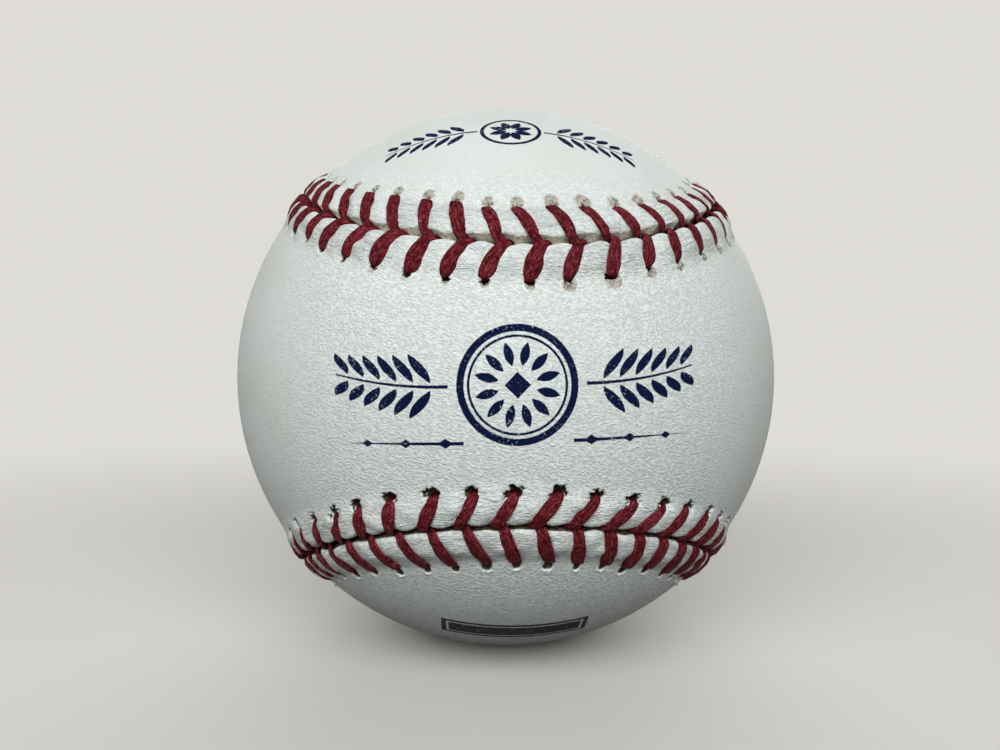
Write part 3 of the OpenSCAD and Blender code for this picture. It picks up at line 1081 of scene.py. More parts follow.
class LeatherFinish(Finish):
    """White leather with fine grain, creases along the seam, torn holes and stamped ornaments, with
    painted shade in the grain, the creases, the holes and the tight seam.
    """

    scuff_tone, dirt_tone = (0.5, 0.45, 0.36), (0.13, 0.115, 0.095)
    # Painted shade: the dark tones of the torn openings and of the tight seam's edge
    pit_tone, pit_fibre_tone = (0.025, 0.017, 0.012), (0.12, 0.085, 0.055)
    relief_depth = 0.045 * MM

    def __init__(self, name, settings, ornaments):
        super().__init__(name)
        self.settings = settings
        self.read_wear_and_shade()
        self.lay_grain()
        rgb = self.worn_and_pit_shaded(self.white())
        rgb, inked = self.stamped(rgb, ornaments)
        roughness = 0.5 + (1 - self.grain) * 0.12 + inked * 0.4
        roughness = roughness + self.raw * 0.3 + self.scuff * 0.2 + self.pit * 0.2
        relief = self.bump(self.relief(), self.relief_depth)
        self.shade(rgb, roughness, relief, specular_ior_level=0.16)

    def read_wear_and_shade(self):
        """Cut edge, torn openings and scuffs as the mesh carries them, with ragged outlines; the
        openings and the tight seam's edge are where shade is painted.
        """
        self.raw, pit, scuff = self.attribute("wear_and_shade").parts()
        ragged = self.noise(self.place, 4.5, 3, 0.6) - 0.5
        self.scuff = (scuff + ragged * 0.5).step(0.15, 0.95) * scuff.step(0.02, 0.3)
        # The mask of painted shade, in the torn openings and along the tight seam's edge
        self.pit = (pit + ragged * 0.2).step(0.12, 0.45) * pit.step(0.01, 0.12)

    def drawn_out(self, x_way, z_way):
        """The place on a skin that is drawn out one way, a little warped."""
        warp = self.noise(self.place, 1.3, 1.0).out("Color")
        warped = self.vector_math("MULTIPLY_ADD", warp, (0.5,) * 3, self.place)
        return self.combine(warped.dot(x_way), warped.parts()[1], warped.dot(z_way))

    def lay_grain(self):
        """The drawn-out grain, the wrinkles in the front's middle and the folds along the seam."""
        self.drawn = self.drawn_out((0.6, 0, -0.45), (0.72, 0, 0.96))
        self.grain = self.cells(self.drawn, 3.1, "DISTANCE_TO_EDGE").step(0.0, 0.3)
        laid = self.drawn_out((2.4, 0, -0.6), (1.3, 0, 5.2))
        self.wrinkles = self.noise(laid, 1.0, 1, 0.4).step(0.3, 0.7)
        x, y, z = self.place.parts()
        self.wrinkled = (1 - abs(x).step(16, 32)) * (y * -1).step(8, 20) * (1 - z.step(16, 27))
        seam_place = self.attribute("seam_place").scaled(1 / MM)
        self.folds = self.noise(seam_place * (0.42, 0.42, 3.1), 1.0, 3, 0.6, 0.5)
        self.creases = (abs(self.folds - 0.5) * 2).step(0.0, 0.28)
        self.near = 1 - seam_place.parts()[2].step(2.8, 5.4)
        self.near = self.near * (self.noise(self.place, 0.16, 2).step(0.36, 0.6) * 0.65 + 0.35)

    def white(self):
        """The tanned leather's tones, with painted shade in its grain and creases, and painted
        highlights and shade on the wrinkles in the front's middle.
        """
        leather = self.settings.leather
        light, warm = tint(leather, 1.05), tint(leather, (0.97, 0.945, 0.9))
        tone = self.noise(self.place, 0.11, 2).step(0.3, 0.75) * 0.6
        rgb = self.mix(tone + self.noise(self.place, 0.9, 3) * 0.25, light, warm)
        # Painted shade in the grain's valleys and in the creases by the seam
        grain_and_crease_shade = (1 - self.grain) * 0.22 + (1 - self.creases) * self.near * 0.3
        rgb = self.mix(grain_and_crease_shade, rgb, tint(leather, 0.8))
        # Painted highlights and shade: lighter and darker copies of the leather on the wrinkles
        wrinkled = self.mix(self.wrinkles, tint(leather, 0.82), tint(leather, 1.15))
        return self.mix(self.wrinkled * 0.85, rgb, wrinkled)

    def worn_and_pit_shaded(self, rgb):
        """Scuffs with dirt in them, the suede of the cut edge, and painted shade in the torn openings
        and along the tight seam's edge.
        """
        suede = self.settings.suede
        patchy = self.noise(self.place, 2.6, 4, 0.7).step(0.38, 0.62)
        dirt = self.noise(self.place, 3.0, 4, 0.7).step(0.48, 0.6)
        fibres = self.noise(self.place, 2.4, 5, 0.75, 0.6)
        rgb = self.mix(self.scuff * (0.6 + patchy * 0.4), rgb, self.scuff_tone)
        rgb = self.mix(self.scuff * dirt * 0.75, rgb, self.dirt_tone)
        cut = self.mix(fibres.step(0.36, 0.5), tint(suede, 0.3), suede)
        cut = self.mix(fibres.step(0.46, 0.6), cut, tint(suede, 1.15))
        rgb = self.mix(self.raw * (0.8 + patchy * 0.2), rgb, cut)
        # Painted shade in the torn openings and at the tight seam's edge, with some brown fibres
        return self.mix(self.pit, rgb, self.mix(patchy, self.pit_tone, self.pit_fibre_tone))

    def stamped(self, rgb, ornaments):
        """The colours with the ornaments on them, and where there is ink."""
        gaps = self.noise(self.drawn, 3.4, 3, 0.75).step(0.58, 0.68)
        gaps = gaps * self.noise(self.place, 0.13, 1).step(0.4, 0.62) * 0.6
        inked = gaps * 0
        for ornament, ink_colour in ornaments:
            ink, mask = ornament(self)
            mask = ink.stamped(mask, gaps)
            inked = inked + mask
            rgb = self.mix(mask, rgb, ink_colour)
        return rgb, inked

    def relief(self):
        """Height of the grain, the folds and the torn fibres."""
        pores = self.cells(self.place, 5.5).step(0.05, 0.45)
        fine = self.noise(self.drawn, 5.0, 4, 0.6)
        even = self.noise(self.place, 2.4, 3, 0.6)
        torn = self.noise(self.place, 5.0, 4, 0.7)
        height = self.grain * 0.5 + pores * 0.35 + fine * 0.6 + even * 1.1
        height = height + self.wrinkles * self.wrinkled * 0.8
        height = height + (self.folds * 2.8 + self.creases * 2.0) * self.near
        return height + torn * (self.scuff * 2.2 + self.raw * 1.6)


# Lacing

def smooth_path(stations, steps):
    """A smooth curve through rows of numbers, with that many points from each row to the next."""
    rows = np.vstack([2 * stations[0] - stations[1], stations, 2 * stations[-1] - stations[-2]])
    made = []
    for a, b, c, d in zip(rows[:-3], rows[1:-2], rows[2:-1], rows[3:]):
        for t in np.arange(steps) / steps:
            square = (2 * a - 5 * b + 4 * c - d) * t**2
            cube = (3 * b - a - 3 * c + d) * t**3
            made.append(0.5 * (2 * b + (c - a) * t + square + cube))
    made.append(stations[-1])
    return np.array(made)


def leg_stations(leather, lacing, rng):
    """Stations of a leg and of the run that follows it under the leather, on the flat strip.

    Each row holds its place along the seam, off the seam (towards the leg's panel), height, width
    and thickness."""
    seam, side, panel = leather.seam, leather.side, leather.panel
    width = (lacing.front_width if side == FRONT else lacing.back_width) * rng.uniform(0.9, 1.08)
    thick = lacing.thickness * rng.uniform(0.94, 1.06)
    end = seam.hole_off
    lag = seam.hole_lag[side]
    hole = lag * seam.pitch
    under_leather, deck, sink = 0.25 * MM, -0.36 * MM, 0.05
    gap_share, round_share = 0.08, 0.4
    deep = -leather.settings.thickness - under_leather
    bend = rng.normal(0, 0.07 * MM)
    belly = rng.uniform(0.6, 0.74)
    blunt = rng.uniform(*panel.bluntness)
    root = blunt * panel.mouth * width
    rows = [
        [hole, end - 0.02 * MM, deep, 0.86 * root, 0.8 * thick],
        [hole, end + 0.06 * MM, deep / 2, 0.92 * root, thick],
        [hole, end + 0.04 * MM, deck, root, thick],
    ]
    way_width_sunk_shares = (
        (0.96, blunt * panel.end_width, panel.end_sunk),
        (0.85, 0.5 + 0.5 * blunt, panel.next_sunk),
        (belly, 1.06, 0),
        (0.5, 1.02, 0),
        (0.33, 0.9, 0),
        (0.19, 0.78, 0),
    )
    edge = np.mean(leather.edge_round)
    for way, wide, sunk in way_width_sunk_shares:
        off = way * end
        rest = 1 - np.clip((off - gap_share * end) / edge, 0, 1)
        drop = round_share * edge * (1 - np.sqrt(1 - rest**2))
        floor = leather.bed_height(off, 0.0, end) - drop
        lift = floor + 0.5 * thick - (sink + sunk) * MM
        along = seam.leg_line(side, way, lag) + bend * math.sin(way * math.pi)
        rows.append([along, off, lift, wide * width, thick])
    tip = seam.tip[side]
    other = (seam.hole_lag[-side] + 1) * seam.pitch
    for along, off, height, wide, high in panel.plunge:
        rows.append([tip + along * MM, off * MM, height * MM, wide * width, high * thick])
    flat = 0.5 * thick
    rows += [
        [tip, -0.9 * MM, deep, 0.6 * width, flat],
        [(tip + other) / 2, -0.5 * end, deep, 0.6 * width, flat],
        [other, -end, deep, 0.5 * width, flat],
    ]
    return np.array(rows)


def leg_shape(name, leather, lacing, rng):
    """One leg as a flat cord of three strands, on the flat strip, with the stitch's place at zero."""
    sides, strands, twist = 16, 3, 0.22
    squareness, flatness = 0.8, 0.7
    path = smooth_path(leg_stations(leather, lacing, rng), 2)
    path[:, 1] *= leather.side
    middle = path[:, :3]
    ways = unit(np.gradient(middle, axis=0))
    wide = np.array([1.0, 0.0, 0.0])
    run = np.concatenate([[0], np.cumsum(np.linalg.norm(np.diff(middle, axis=0), axis=1))])
    phase = rng.uniform(0, 1)
    tone = rng.uniform(0, 1)
    angle = np.arange(sides) / sides * TURN
    points = []
    lay = []
    for row, way, distance in zip(path, ways, run):
        wide = unit(wide - np.dot(wide, way) * way)
        thick = np.cross(way, wide)
        width, height = row[3:]
        across = np.sign(np.cos(angle)) * np.abs(np.cos(angle)) ** squareness * 0.5
        strand = np.abs(np.sin(math.pi * (strands * across + phase + twist * distance / MM)))
        dent = lacing.groove * (1 - strand) ** 2
        up = np.sign(np.sin(angle)) * np.abs(np.sin(angle)) ** flatness * (0.5 * height - dent)
        points.append(row[:3] + np.outer(across * width, wide) + np.outer(up, thick))
        level = np.ones(sides)
        lay.append(np.stack([distance * level, across * width, tone * MM * level], axis=-1))
    grid, side_faces = sleeve(len(points), sides)
    caps = np.array([grid[0][::-1], grid[-1]])
    points = np.concatenate(points)
    mesh = mesh_of(name, points, turned_out(points, [side_faces, caps]))
    set_vectors(mesh, "lay", np.concatenate(lay))
    return bpy.data.objects.new(name, mesh)


def seam_curve(seam, points=2160):
    """The seam as a closed line on the ball, which a tree samples."""
    line = seam.ball_radius * seam.at(np.arange(points) / points * seam.stitches)[0]
    curve = bpy.data.curves.new("seam line", "CURVE")
    curve.dimensions = "3D"
    spline = curve.splines.new("POLY")
    spline.points.add(points - 1)
    weighted = np.hstack([line, np.ones((points, 1))]).astype(np.float32)
    spline.points.foreach_set("co", weighted.ravel())
    spline.use_cyclic_u = True
    return new_object("seam line", curve)


def hole_strip(seam, first):
    """Points a stitch apart on the flat strip, with the shift, stretch and bend of their legs."""
    stitch = np.arange(seam.stitches)
    on_front = (stitch + first) % 2 == 0
    vectors = {}
    for name, side, own in (("front_hole", FRONT, on_front), ("back_hole", BACK, ~on_front)):
        number = np.where(own, stitch, (stitch + 1) % seam.stitches)
        shift = (seam.lag[side][number] - seam.hole_lag[side]) * seam.pitch
        stretch = seam.reach[side][number] / seam.hole_off
        bend = seam.bow[side][number] * (seam.lag[side][number] * seam.pitch - seam.tip[side])
        vectors[name] = np.stack([shift, stretch, bend], axis=-1)
    return points_mesh("strip", np.outer(stitch * seam.pitch, [1, 0, 0]), **vectors)


SEAM_INPUTS = {"Seam": "Object", "Turn": "Float", "Ball Radius": "Float", "Material": "Material"}


def seam_values(seam, line, material):
    """What the inputs of every tree along the seam are set to."""
    return {"Seam": line, "Turn": seam.turn, "Ball Radius": seam.ball_radius, "Material": material}


def named_vector(graph, name):
    return graph.node("GeometryNodeInputNamedAttribute", {"data_type": "FLOAT_VECTOR"}, [name])


def leant(graph, shape):
    """Leans and stretches the legs on the flat strip, so that they end in their own holes."""
    entry = graph.entry
    along, off, height = graph.node("GeometryNodeInputPosition").parts()
    front, back = named_vector(graph, "front_hole"), named_vector(graph, "back_hole")
    on_front = graph.math("GREATER_THAN", off, 0.0)
    shift, stretch, bend = (back + (front - back).scaled(on_front)).parts()
    way = (abs(off) / entry.out("Hole Distance")).at_most(1.0)
    moved = along + shift * way + bend * (way - way * way)
    place = graph.combine(moved, off * stretch, height)
    return graph.node("GeometryNodeSetPosition", {}, {"Geometry": shape, "Position": place})


def wrapped(graph, shape):
    """Lays what was made on the flat strip (along, off, height) on the ball, along the seam."""
    entry = graph.entry
    along, off, height = graph.node("GeometryNodeInputPosition").parts()
    line = graph.node(
        "GeometryNodeObjectInfo", {"transform_space": "ORIGINAL"}, [entry.out("Seam")], "Geometry"
    )
    factor = graph.math("FRACT", along / entry.out("Turn"))
    sampled = graph.node(
        "GeometryNodeSampleCurve",
        {"mode": "FACTOR", "use_all_curves": True},
        {"Curves": line, "Factor": factor},
        "Position",
    )
    out = graph.vector_math("NORMALIZE", sampled)
    across = graph.vector_math("CROSS_PRODUCT", out, sampled.out("Tangent"))
    across = graph.vector_math("NORMALIZE", across)
    radius = entry.out("Ball Radius")
    angle = off / radius
    cosine, sine = graph.math("COSINE", angle), graph.math("SINE", angle)
    place = (out.scaled(cosine) + across.scaled(sine)).scaled(radius + height)
    return graph.node("GeometryNodeSetPosition", {}, {"Geometry": shape, "Position": place})


def shapes_of(graph, title):
    """The shapes of a collection that is one of the tree's inputs, to pick from."""
    values = {"Collection": graph.entry.out(title), "Separate Children": True, "Reset Children": True}
    return graph.node("GeometryNodeCollectionInfo", {"transform_space": "ORIGINAL"}, values)


def copies(graph, points, shape, values):
    """A real copy of a shape on each point."""
    values = {"Points": points, "Instance": shape, **values}
    placed = graph.node("GeometryNodeInstanceOnPoints", {}, values)
    return graph.node("GeometryNodeRealizeInstances", {}, [placed])


def lacing_tree():
    """Legs by turns on the front and the back panel, each with the run to the next one's hole."""
    graph = geometry_tree(
        "lacing",
        {"Legs": "Collection", "Hole Distance": "Float", "First": "Int", "Shapes": "Int",
         "Seed": "Int", **SEAM_INPUTS},
    )
    entry = graph.entry
    index = graph.node("GeometryNodeInputIndex")
    turn = graph.math("MODULO", index + entry.out("First"), 2.0)
    last = entry.out("Shapes") - 1
    pick = random_value(graph, "INT", 0, last, ID=index, Seed=entry.out("Seed"))
    number = turn * entry.out("Shapes") + pick
    picked = {"Pick Instance": True, "Instance Index": number}
    legs = copies(graph, entry.out("Geometry"), shapes_of(graph, "Legs"), picked)
    close_tree(graph, wrapped(graph, leant(graph, legs)))
    return graph


def thread_finish(settings):
    """Waxed thread: fine fibres and a dull waxy gloss, with painted shade in the grooves between the
    strands, between the fibres and where the thread sinks below the leather, and painted highlights on
    the fibres and on loose specks.
    """
    finish = Finish("Waxed red thread")
    lay = finish.attribute("lay").scaled(1 / MM)
    run, across, tone = lay.parts()
    twist = across * 1.9 + run * 0.24 + tone
    strand = finish.math("FRACT", twist)
    groove = 1 - (abs(strand - 0.5) * 2).step(0.0, 0.4)
    drawn = finish.combine(run * 0.9, across * 4.2 + run * 0.5, tone * 30)
    fibres = finish.noise(drawn, 1.7, 5, 0.7, 0.5)
    mottle = finish.noise(finish.place, 1.5, 4, 0.7).step(0.36, 0.64)
    fuzz_glint = finish.noise(finish.place, 3.3, 3, 0.65).step(0.56, 0.68)
    over = finish.place.dot(finish.place) ** 0.5 - BALL_RADIUS / MM
    sunk = 1 - over.step(-0.45, 0.2)
    # Painted highlights on the fibres and, lighter still, on loose specks
    painted_highlight = tint(settings.thread, (1.8, 9.5, 5.6))
    # Painted shade between the fibres
    rgb = finish.mix(fibres.step(0.36, 0.52) * (0.2 + mottle * 0.8), settings.shadow, settings.thread)
    rgb = finish.mix(fibres.step(0.42, 0.6) * (0.15 + mottle * 0.85), rgb, painted_highlight)
    # Painted shade in the grooves between the strands
    rgb = finish.mix(groove * 0.6, rgb, settings.shadow)
    # Painted highlights on the loose specks
    rgb = finish.mix(fuzz_glint * 0.75, rgb, tint(painted_highlight, 1.7))
    # Painted shade where the thread sinks below the leather, and a darker random tone on some legs
    rgb = finish.mix(sunk * 0.8 + tone * 0.2, rgb, settings.shadow)
    height = fibres * 0.8 + mottle * 0.5 + (1 - groove) * 0.5 + fuzz_glint * 0.3
    roughness = 0.5 + fibres * 0.25
    return finish.shade(rgb, roughness, finish.bump(height, 0.1 * MM), specular_ior_level=0.06)


# Torn leather at the holes

FLECK_SHAPES = 5


def fleck_shape(name, rng):
    """A torn, curled tongue of leather, a few tenths of a millimetre long."""
    shrink, tail, thinning = 0.6, 0.015, 0.6
    long, wide, thick = rng.uniform(0.35, 0.65), rng.uniform(0.14, 0.26), 0.07
    curl = rng.uniform(0.5, 1.5)
    ways = (0, 0.35, 0.7, 1.0)
    points = []
    for way in ways:
        half = wide * (1 - way) ** shrink + tail
        rise = long * (0.12 + curl * way * way * 0.5)
        for x, z in ((-half, 0), (half, 0), (half, thick), (-half, thick)):
            points.append((x, way * long, rise + z * (1 - thinning * way)))
    grid, side_faces = sleeve(len(ways), 4)
    faces = [np.concatenate([side_faces, [grid[0][::-1], grid[-1]]])]
    points = np.array(points) * MM
    return bpy.data.objects.new(name, mesh_of(name, points, turned_out(points, faces)))


def fleck_tree():
    """Flecks at the places of a strip of points, each turned and sized by the point's own values."""
    graph = geometry_tree("torn leather", {"Flecks": "Collection", **SEAM_INPUTS})
    turn = graph.node("FunctionNodeEulerToRotation", {}, [named_vector(graph, "turn")])
    picked = {"Pick Instance": True, "Rotation": turn, "Scale": named_vector(graph, "size")}
    flecks = copies(graph, graph.entry.out("Geometry"), shapes_of(graph, "Flecks"), picked)
    close_tree(graph, wrapped(graph, flecks))
    return graph


def fleck_places(leather, seed):
    """Places, turns and sizes of the flecks round the far rim of each hole of a panel."""
    seam = leather.seam
    side = leather.side
    rng = np.random.default_rng(seed + side)
    pit_off, pit_reach = leather.pit_off(), leather.pit_reach()
    spots, turns, sizes = [], [], []
    for k in range(seam.stitches):
        shift_along, shift_off = leather.pit_shift[:, k]
        column = k * leather.columns + leather.columns // 2
        radius = pit_reach[column]
        middle = pit_off[column] + shift_off
        lower = leather.lower[column]
        if side == BACK and lower > 0.5:
            continue
        for _ in range(rng.integers(0, 3)):
            angle = rng.normal(0, 0.8)
            along = (k + seam.lag[side][k]) * seam.pitch + shift_along + radius * math.sin(angle)
            off = middle + (radius + 0.05 * MM) * math.cos(angle)
            spots.append((along, side * off, -0.08 * MM))
            outward = -angle if side == FRONT else math.pi + angle
            turns.append((rng.uniform(0.1, 0.7), rng.normal(0, 0.3), outward + rng.normal(0, 0.3)))
            size = rng.uniform(0.35, 0.6)
            sizes.append((size * 1.2, size * 0.7, size))
    return np.array(spots), np.array(turns), np.array(sizes)


# Windings and centre

def winding_tree():
    """Turns of yarn round a shell, each a great circle at its own slant."""
    graph = geometry_tree(
        "winding",
        {"Outer Radius": "Float", "Inner Radius": "Float", "Yarn": "Float", "Turns": "Int",
         "Seed": "Int", "Material": "Material"},
    )
    entry = graph.entry
    outer, yarn = entry.out("Outer Radius"), entry.out("Yarn")
    loop_corners, yarn_corners = 64, 5

    def circle(corners, radius):
        values = {"Resolution": corners, "Radius": radius}
        return graph.node("GeometryNodeCurvePrimitiveCircle", {"mode": "RADIUS"}, values, "Curve")

    def sphere(radius):
        values = {"Segments": 64, "Rings": 32, "Radius": radius}
        return graph.node("GeometryNodeMeshUVSphere", {}, values, "Mesh")

    marks = graph.node("GeometryNodePoints", {}, {"Count": entry.out("Turns")})
    seed = entry.out("Seed")
    slant = random_value(graph, "FLOAT_VECTOR", (0.0,) * 3, (TURN,) * 3, Seed=seed)
    size = random_value(graph, "FLOAT", 0.985, 1.0, Seed=seed + 1)
    slant = graph.node("FunctionNodeEulerToRotation", {}, [slant])
    size = graph.combine(size, size, size)
    turned = {"Rotation": slant, "Scale": size}
    loops = copies(graph, marks, circle(loop_corners, outer - yarn / 2), turned)
    round_yarn = {"Curve": loops, "Profile Curve": circle(yarn_corners, yarn / 2)}
    turns = graph.node("GeometryNodeCurveToMesh", {}, round_yarn)
    hollow = graph.node("GeometryNodeFlipFaces", {}, [sphere(entry.out("Inner Radius"))])
    joined = graph.node("GeometryNodeJoinGeometry")
    for shape in (turns, sphere(outer - yarn * 0.8), hollow):
        graph.tree.links.new(shape.socket, joined.socket.node.inputs[0])
    close_tree(graph, joined)
    return graph


def yarn_finish(name, rgb, scale):
    """Yarn with soft fibres and small changes of tone."""
    finish = Finish(name)
    fibres = finish.noise(finish.place, scale, 5, 0.7, 0.6)
    patch = finish.noise(finish.place, 0.5, 2)
    shade = finish.mix(fibres.step(0.3, 0.7), tint(rgb, 0.55), rgb)
    shade = finish.mix(patch * 0.3, shade, tint(rgb, 1.15))
    return finish.shade(shade, 0.9, finish.bump(fibres, 0.12 * MM), sheen_weight=0.25)


def rubber_finish(name, rgb, roughness):
    """Moulded rubber with a faint grain and a bloom of powder."""
    finish = Finish(name)
    grain = finish.noise(finish.place, 3.2, 3, 0.6)
    bloom = finish.noise(finish.place, 0.25, 3)
    pale = tuple(min(1, c * 1.6 + 0.03) for c in rgb)
    shade = finish.mix(bloom.step(0.45, 0.8) * 0.5, rgb, pale)
    return finish.shade(shade, grain * 0.15 + roughness, finish.bump(grain, 0.02 * MM))


def cork_finish(rgb):
    """Granules of cork bound in rubber."""
    finish = Finish("Cork and rubber")
    granules = 0.9
    tone = finish.cells(finish.place, granules, output="Color").parts()[0]
    gap = finish.cells(finish.place, granules, "DISTANCE_TO_EDGE").step(0.0, 0.12)
    shade = finish.mix(tone, tint(rgb, 0.5), tint(rgb, 1.35))
    shade = finish.mix(1 - gap, shade, (0.03, 0.025, 0.022))
    return finish.shade(shade, 0.8 - gap * 0.1, finish.bump(gap, 0.1 * MM))


# Steps

class BALL_OT_stage(Operator):
    """Make the floor, the lamps and the camera"""

    bl_idname = "ball.stage"
    bl_label = "Stage"

    def execute(self, context):
        scene = context.scene
        settings = scene.ball_stage
        self.floor(settings)
        self.lamps(scene, settings)
        self.camera(scene)
        scene.view_settings.view_transform = "Standard"
        return {"FINISHED"}

    def floor(self, settings):
        """A round floor that rises to a wall, so that it looks alike from all sides."""
        low = SOLID_BOX[0][2]
        reach = settings.floor_radius
        bend, wall = 0.45 * reach, 1.2 * reach
        bend_steps, spokes = 12, 96
        profile = [(r, 0) for r in (0.02, 0.2, reach - bend)]
        for turn in np.linspace(0, math.pi / 2, bend_steps + 1)[1:]:
            profile.append((reach - bend + bend * math.sin(turn), bend - bend * math.cos(turn)))
        profile.append((reach, wall))
        angle = np.arange(spokes) / spokes * TURN
        circle = np.stack([np.cos(angle), np.sin(angle), 0 * angle], axis=-1)
        points = [r * circle + np.array([0, 0, low + z]) for r, z in profile]
        grid, sides = sleeve(len(profile), spokes)
        floor = new_object("floor", mesh_of("floor", np.concatenate(points), [sides[:, ::-1], grid[:1]]))
        floor.data.materials.append(self.floor_finish(settings.floor))

    def floor_finish(self, rgb):
        """It is pale where it is seen and glows evenly far off, but throws little light on the ball."""
        finish = Finish("Pale floor")
        black = (0.0, 0.0, 0.0)
        grain = finish.noise(finish.place, 0.04, 4)
        tone = finish.mix(grain * 0.2, rgb, tint(rgb, 0.94))
        seen = finish.node("ShaderNodeLightPath", {}, (), "Is Camera Ray")
        seen = seen.at_least(seen.out("Is Glossy Ray"))
        x, y, _ = finish.place.parts()
        far = ((x * x + y * y) ** 0.5).step(50, 300)
        shade = finish.mix(seen, tint(rgb, 0.07), finish.mix(far, tone, black))
        glow = finish.mix(seen * far, black, tint(rgb, 0.92))
        constants = {"emission_strength": 1.0, "specular_ior_level": 0.0}
        return finish.shade(shade, 0.8, None, emission_color=glow, **constants)

    def lamps(self, scene, settings):
        """Two wide lamps that look at the ball, and a faint light from all round."""
        lamps = {
            "key lamp": (settings.key_power, (1.3, 0.4), (-0.05, -0.625, 0.385)),
            "back lamp": (settings.back_power, (1.0, 0.4), (0.1, 0.75, 0.3)),
        }
        for name, (power, size, place) in lamps.items():
            data = bpy.data.lights.new(name, "AREA")
            data.energy = power
            data.shape = "RECTANGLE"
            data.size, data.size_y = size
            lamp = new_object(name, data)
            lamp.location = place
            lamp.rotation_euler = (-Vector(place)).to_track_quat("-Z", "Y").to_euler()
        scene.world = bpy.data.worlds.new("soft room")
        scene.world.use_nodes = True
        sky = Graph(scene.world.node_tree)
        sky.tree.nodes.clear()
        warm_white = (1.0, 0.97, 0.92, 1)
        light = sky.node("ShaderNodeBackground", {}, {"Color": warm_white, "Strength": settings.sky})
        sky.node("ShaderNodeOutputWorld", {}, [light])

    def camera(self, scene):
        """The camera stands a little to the left of the ball and above its middle."""
        distance = 2.904 * BALL_RADIUS
        focal_share = 0.732
        tip, turn, roll = 0.022, 0.042, -0.006
        view = Matrix.Rotation(roll, 3, "Z") @ Matrix.Rotation(turn, 3, "Y")
        view = view @ Matrix.Rotation(tip, 3, "X")
        right, up, back = (Vector((row[0], -row[2], row[1])) for row in view)
        data = bpy.data.cameras.new("camera")
        data.sensor_width = 36
        data.lens = data.sensor_width * focal_share
        data.shift_x, data.shift_y = -0.0057, 0.0017
        data.clip_start, data.clip_end = 0.005, 10
        camera = new_object("camera", data)
        turned = Matrix((right, up, back)).transposed().to_4x4()
        camera.matrix_world = Matrix.Translation(back * distance) @ turned
        scene.camera = camera


class BALL_OT_centre(Operator):
    """Give the moulded centre its finishes"""

    bl_idname = "ball.centre"
    bl_label = "Moulded Centre"

    def execute(self, context):
        settings = context.scene.ball_windings
        black = rubber_finish("Black rubber", settings.black_rubber, 0.6)
        red = rubber_finish("Red rubber", settings.red_rubber, 0.5)
        finishes = {
            "cork_core": cork_finish(settings.cork),
            "black_shell_upper": black,
            "black_shell_lower": black,
            "shell_gasket": red,
            "red_rubber_cover": red,
        }
        for node, material in finishes.items():
            paint(frame["nodes"][node], material)
        return {"FINISHED"}


class BALL_OT_windings(Operator):
    """Wind the yarns and the cotton"""

    bl_idname = "ball.windings"
    bl_label = "Windings"

    def execute(self, context):
        settings = context.scene.ball_windings
        grey = yarn_finish("Grey wool", settings.grey_wool, 2.4)
        white = yarn_finish("White wool", settings.white_wool, 2.6)
        cotton = yarn_finish("Cotton thread", settings.cotton, 5.0)
        layers = [
            ("grey_wool_inner", "red_rubber_cover", settings.wool_yarn, 1.0, grey, "grey_wool"),
            ("white_wool", "grey_wool_inner", settings.fine_yarn, 1.1, white, "white_wool"),
            ("grey_wool_outer", "white_wool", settings.fine_yarn, 1.2, grey, "grey_wool"),
            ("cotton_winding", "grey_wool_outer", settings.cotton_yarn, 1.5, cotton, "cotton"),
        ]
        tree = winding_tree()
        for index, (node, under, yarn, more, material, slot) in enumerate(layers):
            piece = new_object(f"{node}_yarn", bpy.data.meshes.new(node))
            values = {
                "Outer Radius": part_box(node)[1][2],
                "Inner Radius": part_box(under)[1][2],
                "Yarn": yarn,
                "Turns": round(settings.loops * more),
                "Seed": index + 1,
                "Material": material,
            }
            grow(piece, tree, values)
            dress(piece, material, slot, node)
        return {"FINISHED"}


class BALL_OT_cover(Operator):
    """Shape and finish the two leather panels"""

    bl_idname = "ball.cover"
    bl_label = "Leather Cover"

    def execute(self, context):
        settings = context.scene.ball_cover
        seam = Seam(context.scene.ball_seam)
        ornaments = {
            "front": [(front_mark, settings.ink)],
            "back": [(top_mark, settings.ink), (low_band, settings.grey_ink)],
        }
        for name, side in SIDES.items():
            piece = new_object(f"leather_{name}", leather_panel(seam, settings, side))
            finish = LeatherFinish(f"White leather {name}", settings, ornaments[name])
            dress(piece, finish.material, "leather", f"cover_panel_{name}")
        return {"FINISHED"}


class BALL_OT_lacing(Operator):
    """Lace the cover with the two ends of the waxed thread"""

    bl_idname = "ball.lacing"
    bl_label = "Lacing"

    def execute(self, context):
        seam = Seam(context.scene.ball_seam)
        cover = context.scene.ball_cover
        settings = context.scene.ball_lacing
        rng = np.random.default_rng(settings.seed)
        shapes = bpy.data.collections.new("leg shapes")
        # The tree takes the legs in the order of their names, so the front panel's come first
        for letter, side in (("a", FRONT), ("b", BACK)):
            leather = Leather(seam, cover, side)
            for number in range(settings.shapes):
                shapes.objects.link(leg_shape(f"leg_{letter}{number:02d}", leather, settings, rng))
        line = seam_curve(seam)
        tree = lacing_tree()
        material = thread_finish(settings)
        for first, name in enumerate(("first", "second")):
            piece = new_object(f"lacing_{name}", hole_strip(seam, first))
            values = {
                "Legs": shapes,
                "Hole Distance": seam.hole_off,
                "First": first,
                "Shapes": settings.shapes,
                "Seed": settings.seed + first,
                **seam_values(seam, line, material),
            }
            grow(piece, tree, values)
            dress(piece, material, "waxed_thread", f"lacing_thread_{name}")
        clear(shapes, line)
        return {"FINISHED"}


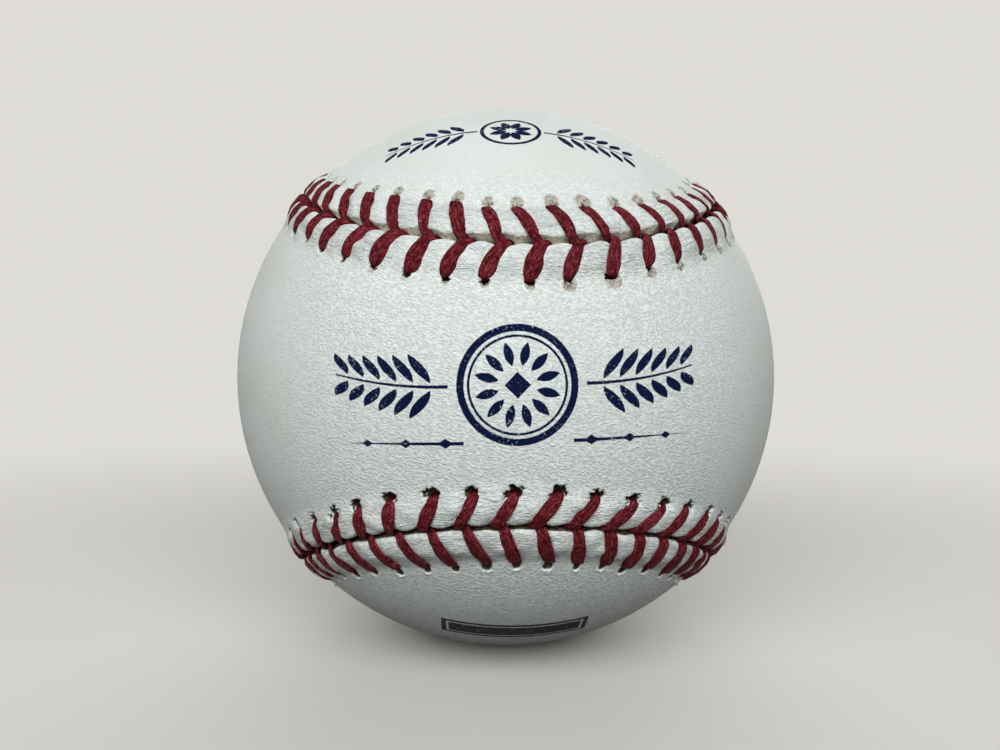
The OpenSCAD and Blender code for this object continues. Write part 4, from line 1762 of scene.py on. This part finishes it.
class BALL_OT_torn_leather(Operator):
    """Add the torn flecks of leather round the holes"""

    bl_idname = "ball.torn_leather"
    bl_label = "Torn Leather"

    def execute(self, context):
        seam = Seam(context.scene.ball_seam)
        cover = context.scene.ball_cover
        rng = np.random.default_rng(cover.seed)
        shapes = bpy.data.collections.new("fleck shapes")
        for number in range(FLECK_SHAPES):
            shapes.objects.link(fleck_shape(f"fleck_{number}", rng))
        line = seam_curve(seam)
        tree = fleck_tree()
        finish = Finish("Torn leather")
        rgb = finish.mix(finish.noise(finish.place, 2.5, 3), cover.leather, (0.42, 0.39, 0.33))
        material = finish.shade(rgb, 0.8, finish.bump(finish.noise(finish.place, 8), 0.02 * MM))
        for name, side in SIDES.items():
            spots, turns, sizes = fleck_places(Leather(seam, cover, side), cover.seed)
            mesh = points_mesh(name, spots, turn=turns, size=sizes)
            piece = new_object(f"torn_leather_{name}", mesh)
            grow(piece, tree, {"Flecks": shapes, **seam_values(seam, line, material)})
            dress(piece, material, "leather")
        clear(shapes, line)
        return {"FINISHED"}


def clear(collection, line):
    """Removes the shapes that a tree has used."""
    for shape in list(collection.objects):
        bpy.data.objects.remove(shape)
    bpy.data.collections.remove(collection)
    bpy.data.objects.remove(line)


class BALL_PT_steps(Panel):
    """Steps that make the ball"""

    bl_label = "Ball"
    bl_idname = "BALL_PT_steps"
    bl_space_type = "VIEW_3D"
    bl_region_type = "UI"
    bl_category = "Ball"

    def draw(self, context):
        """One button for each step."""
        for step in STEPS:
            self.layout.operator(step.bl_idname)


STEPS = (
    BALL_OT_stage,
    BALL_OT_centre,
    BALL_OT_windings,
    BALL_OT_cover,
    BALL_OT_torn_leather,
    BALL_OT_lacing,
)
CLASSES = (*SETTINGS.values(), *STEPS, BALL_PT_steps)


def register():
    for cls in CLASSES:
        bpy.utils.register_class(cls)
    for name, cls in SETTINGS.items():
        setattr(bpy.types.Scene, name, PointerProperty(type=cls))


def unregister():
    for name in SETTINGS:
        delattr(bpy.types.Scene, name)
    for cls in reversed(CLASSES):
        bpy.utils.unregister_class(cls)


def main():
    """Makes the ball step by step."""
    register()
    for step in STEPS:
        group, name = step.bl_idname.split(".")
        getattr(getattr(bpy.ops, group), name)()


if __name__ == "__main__":
    main()
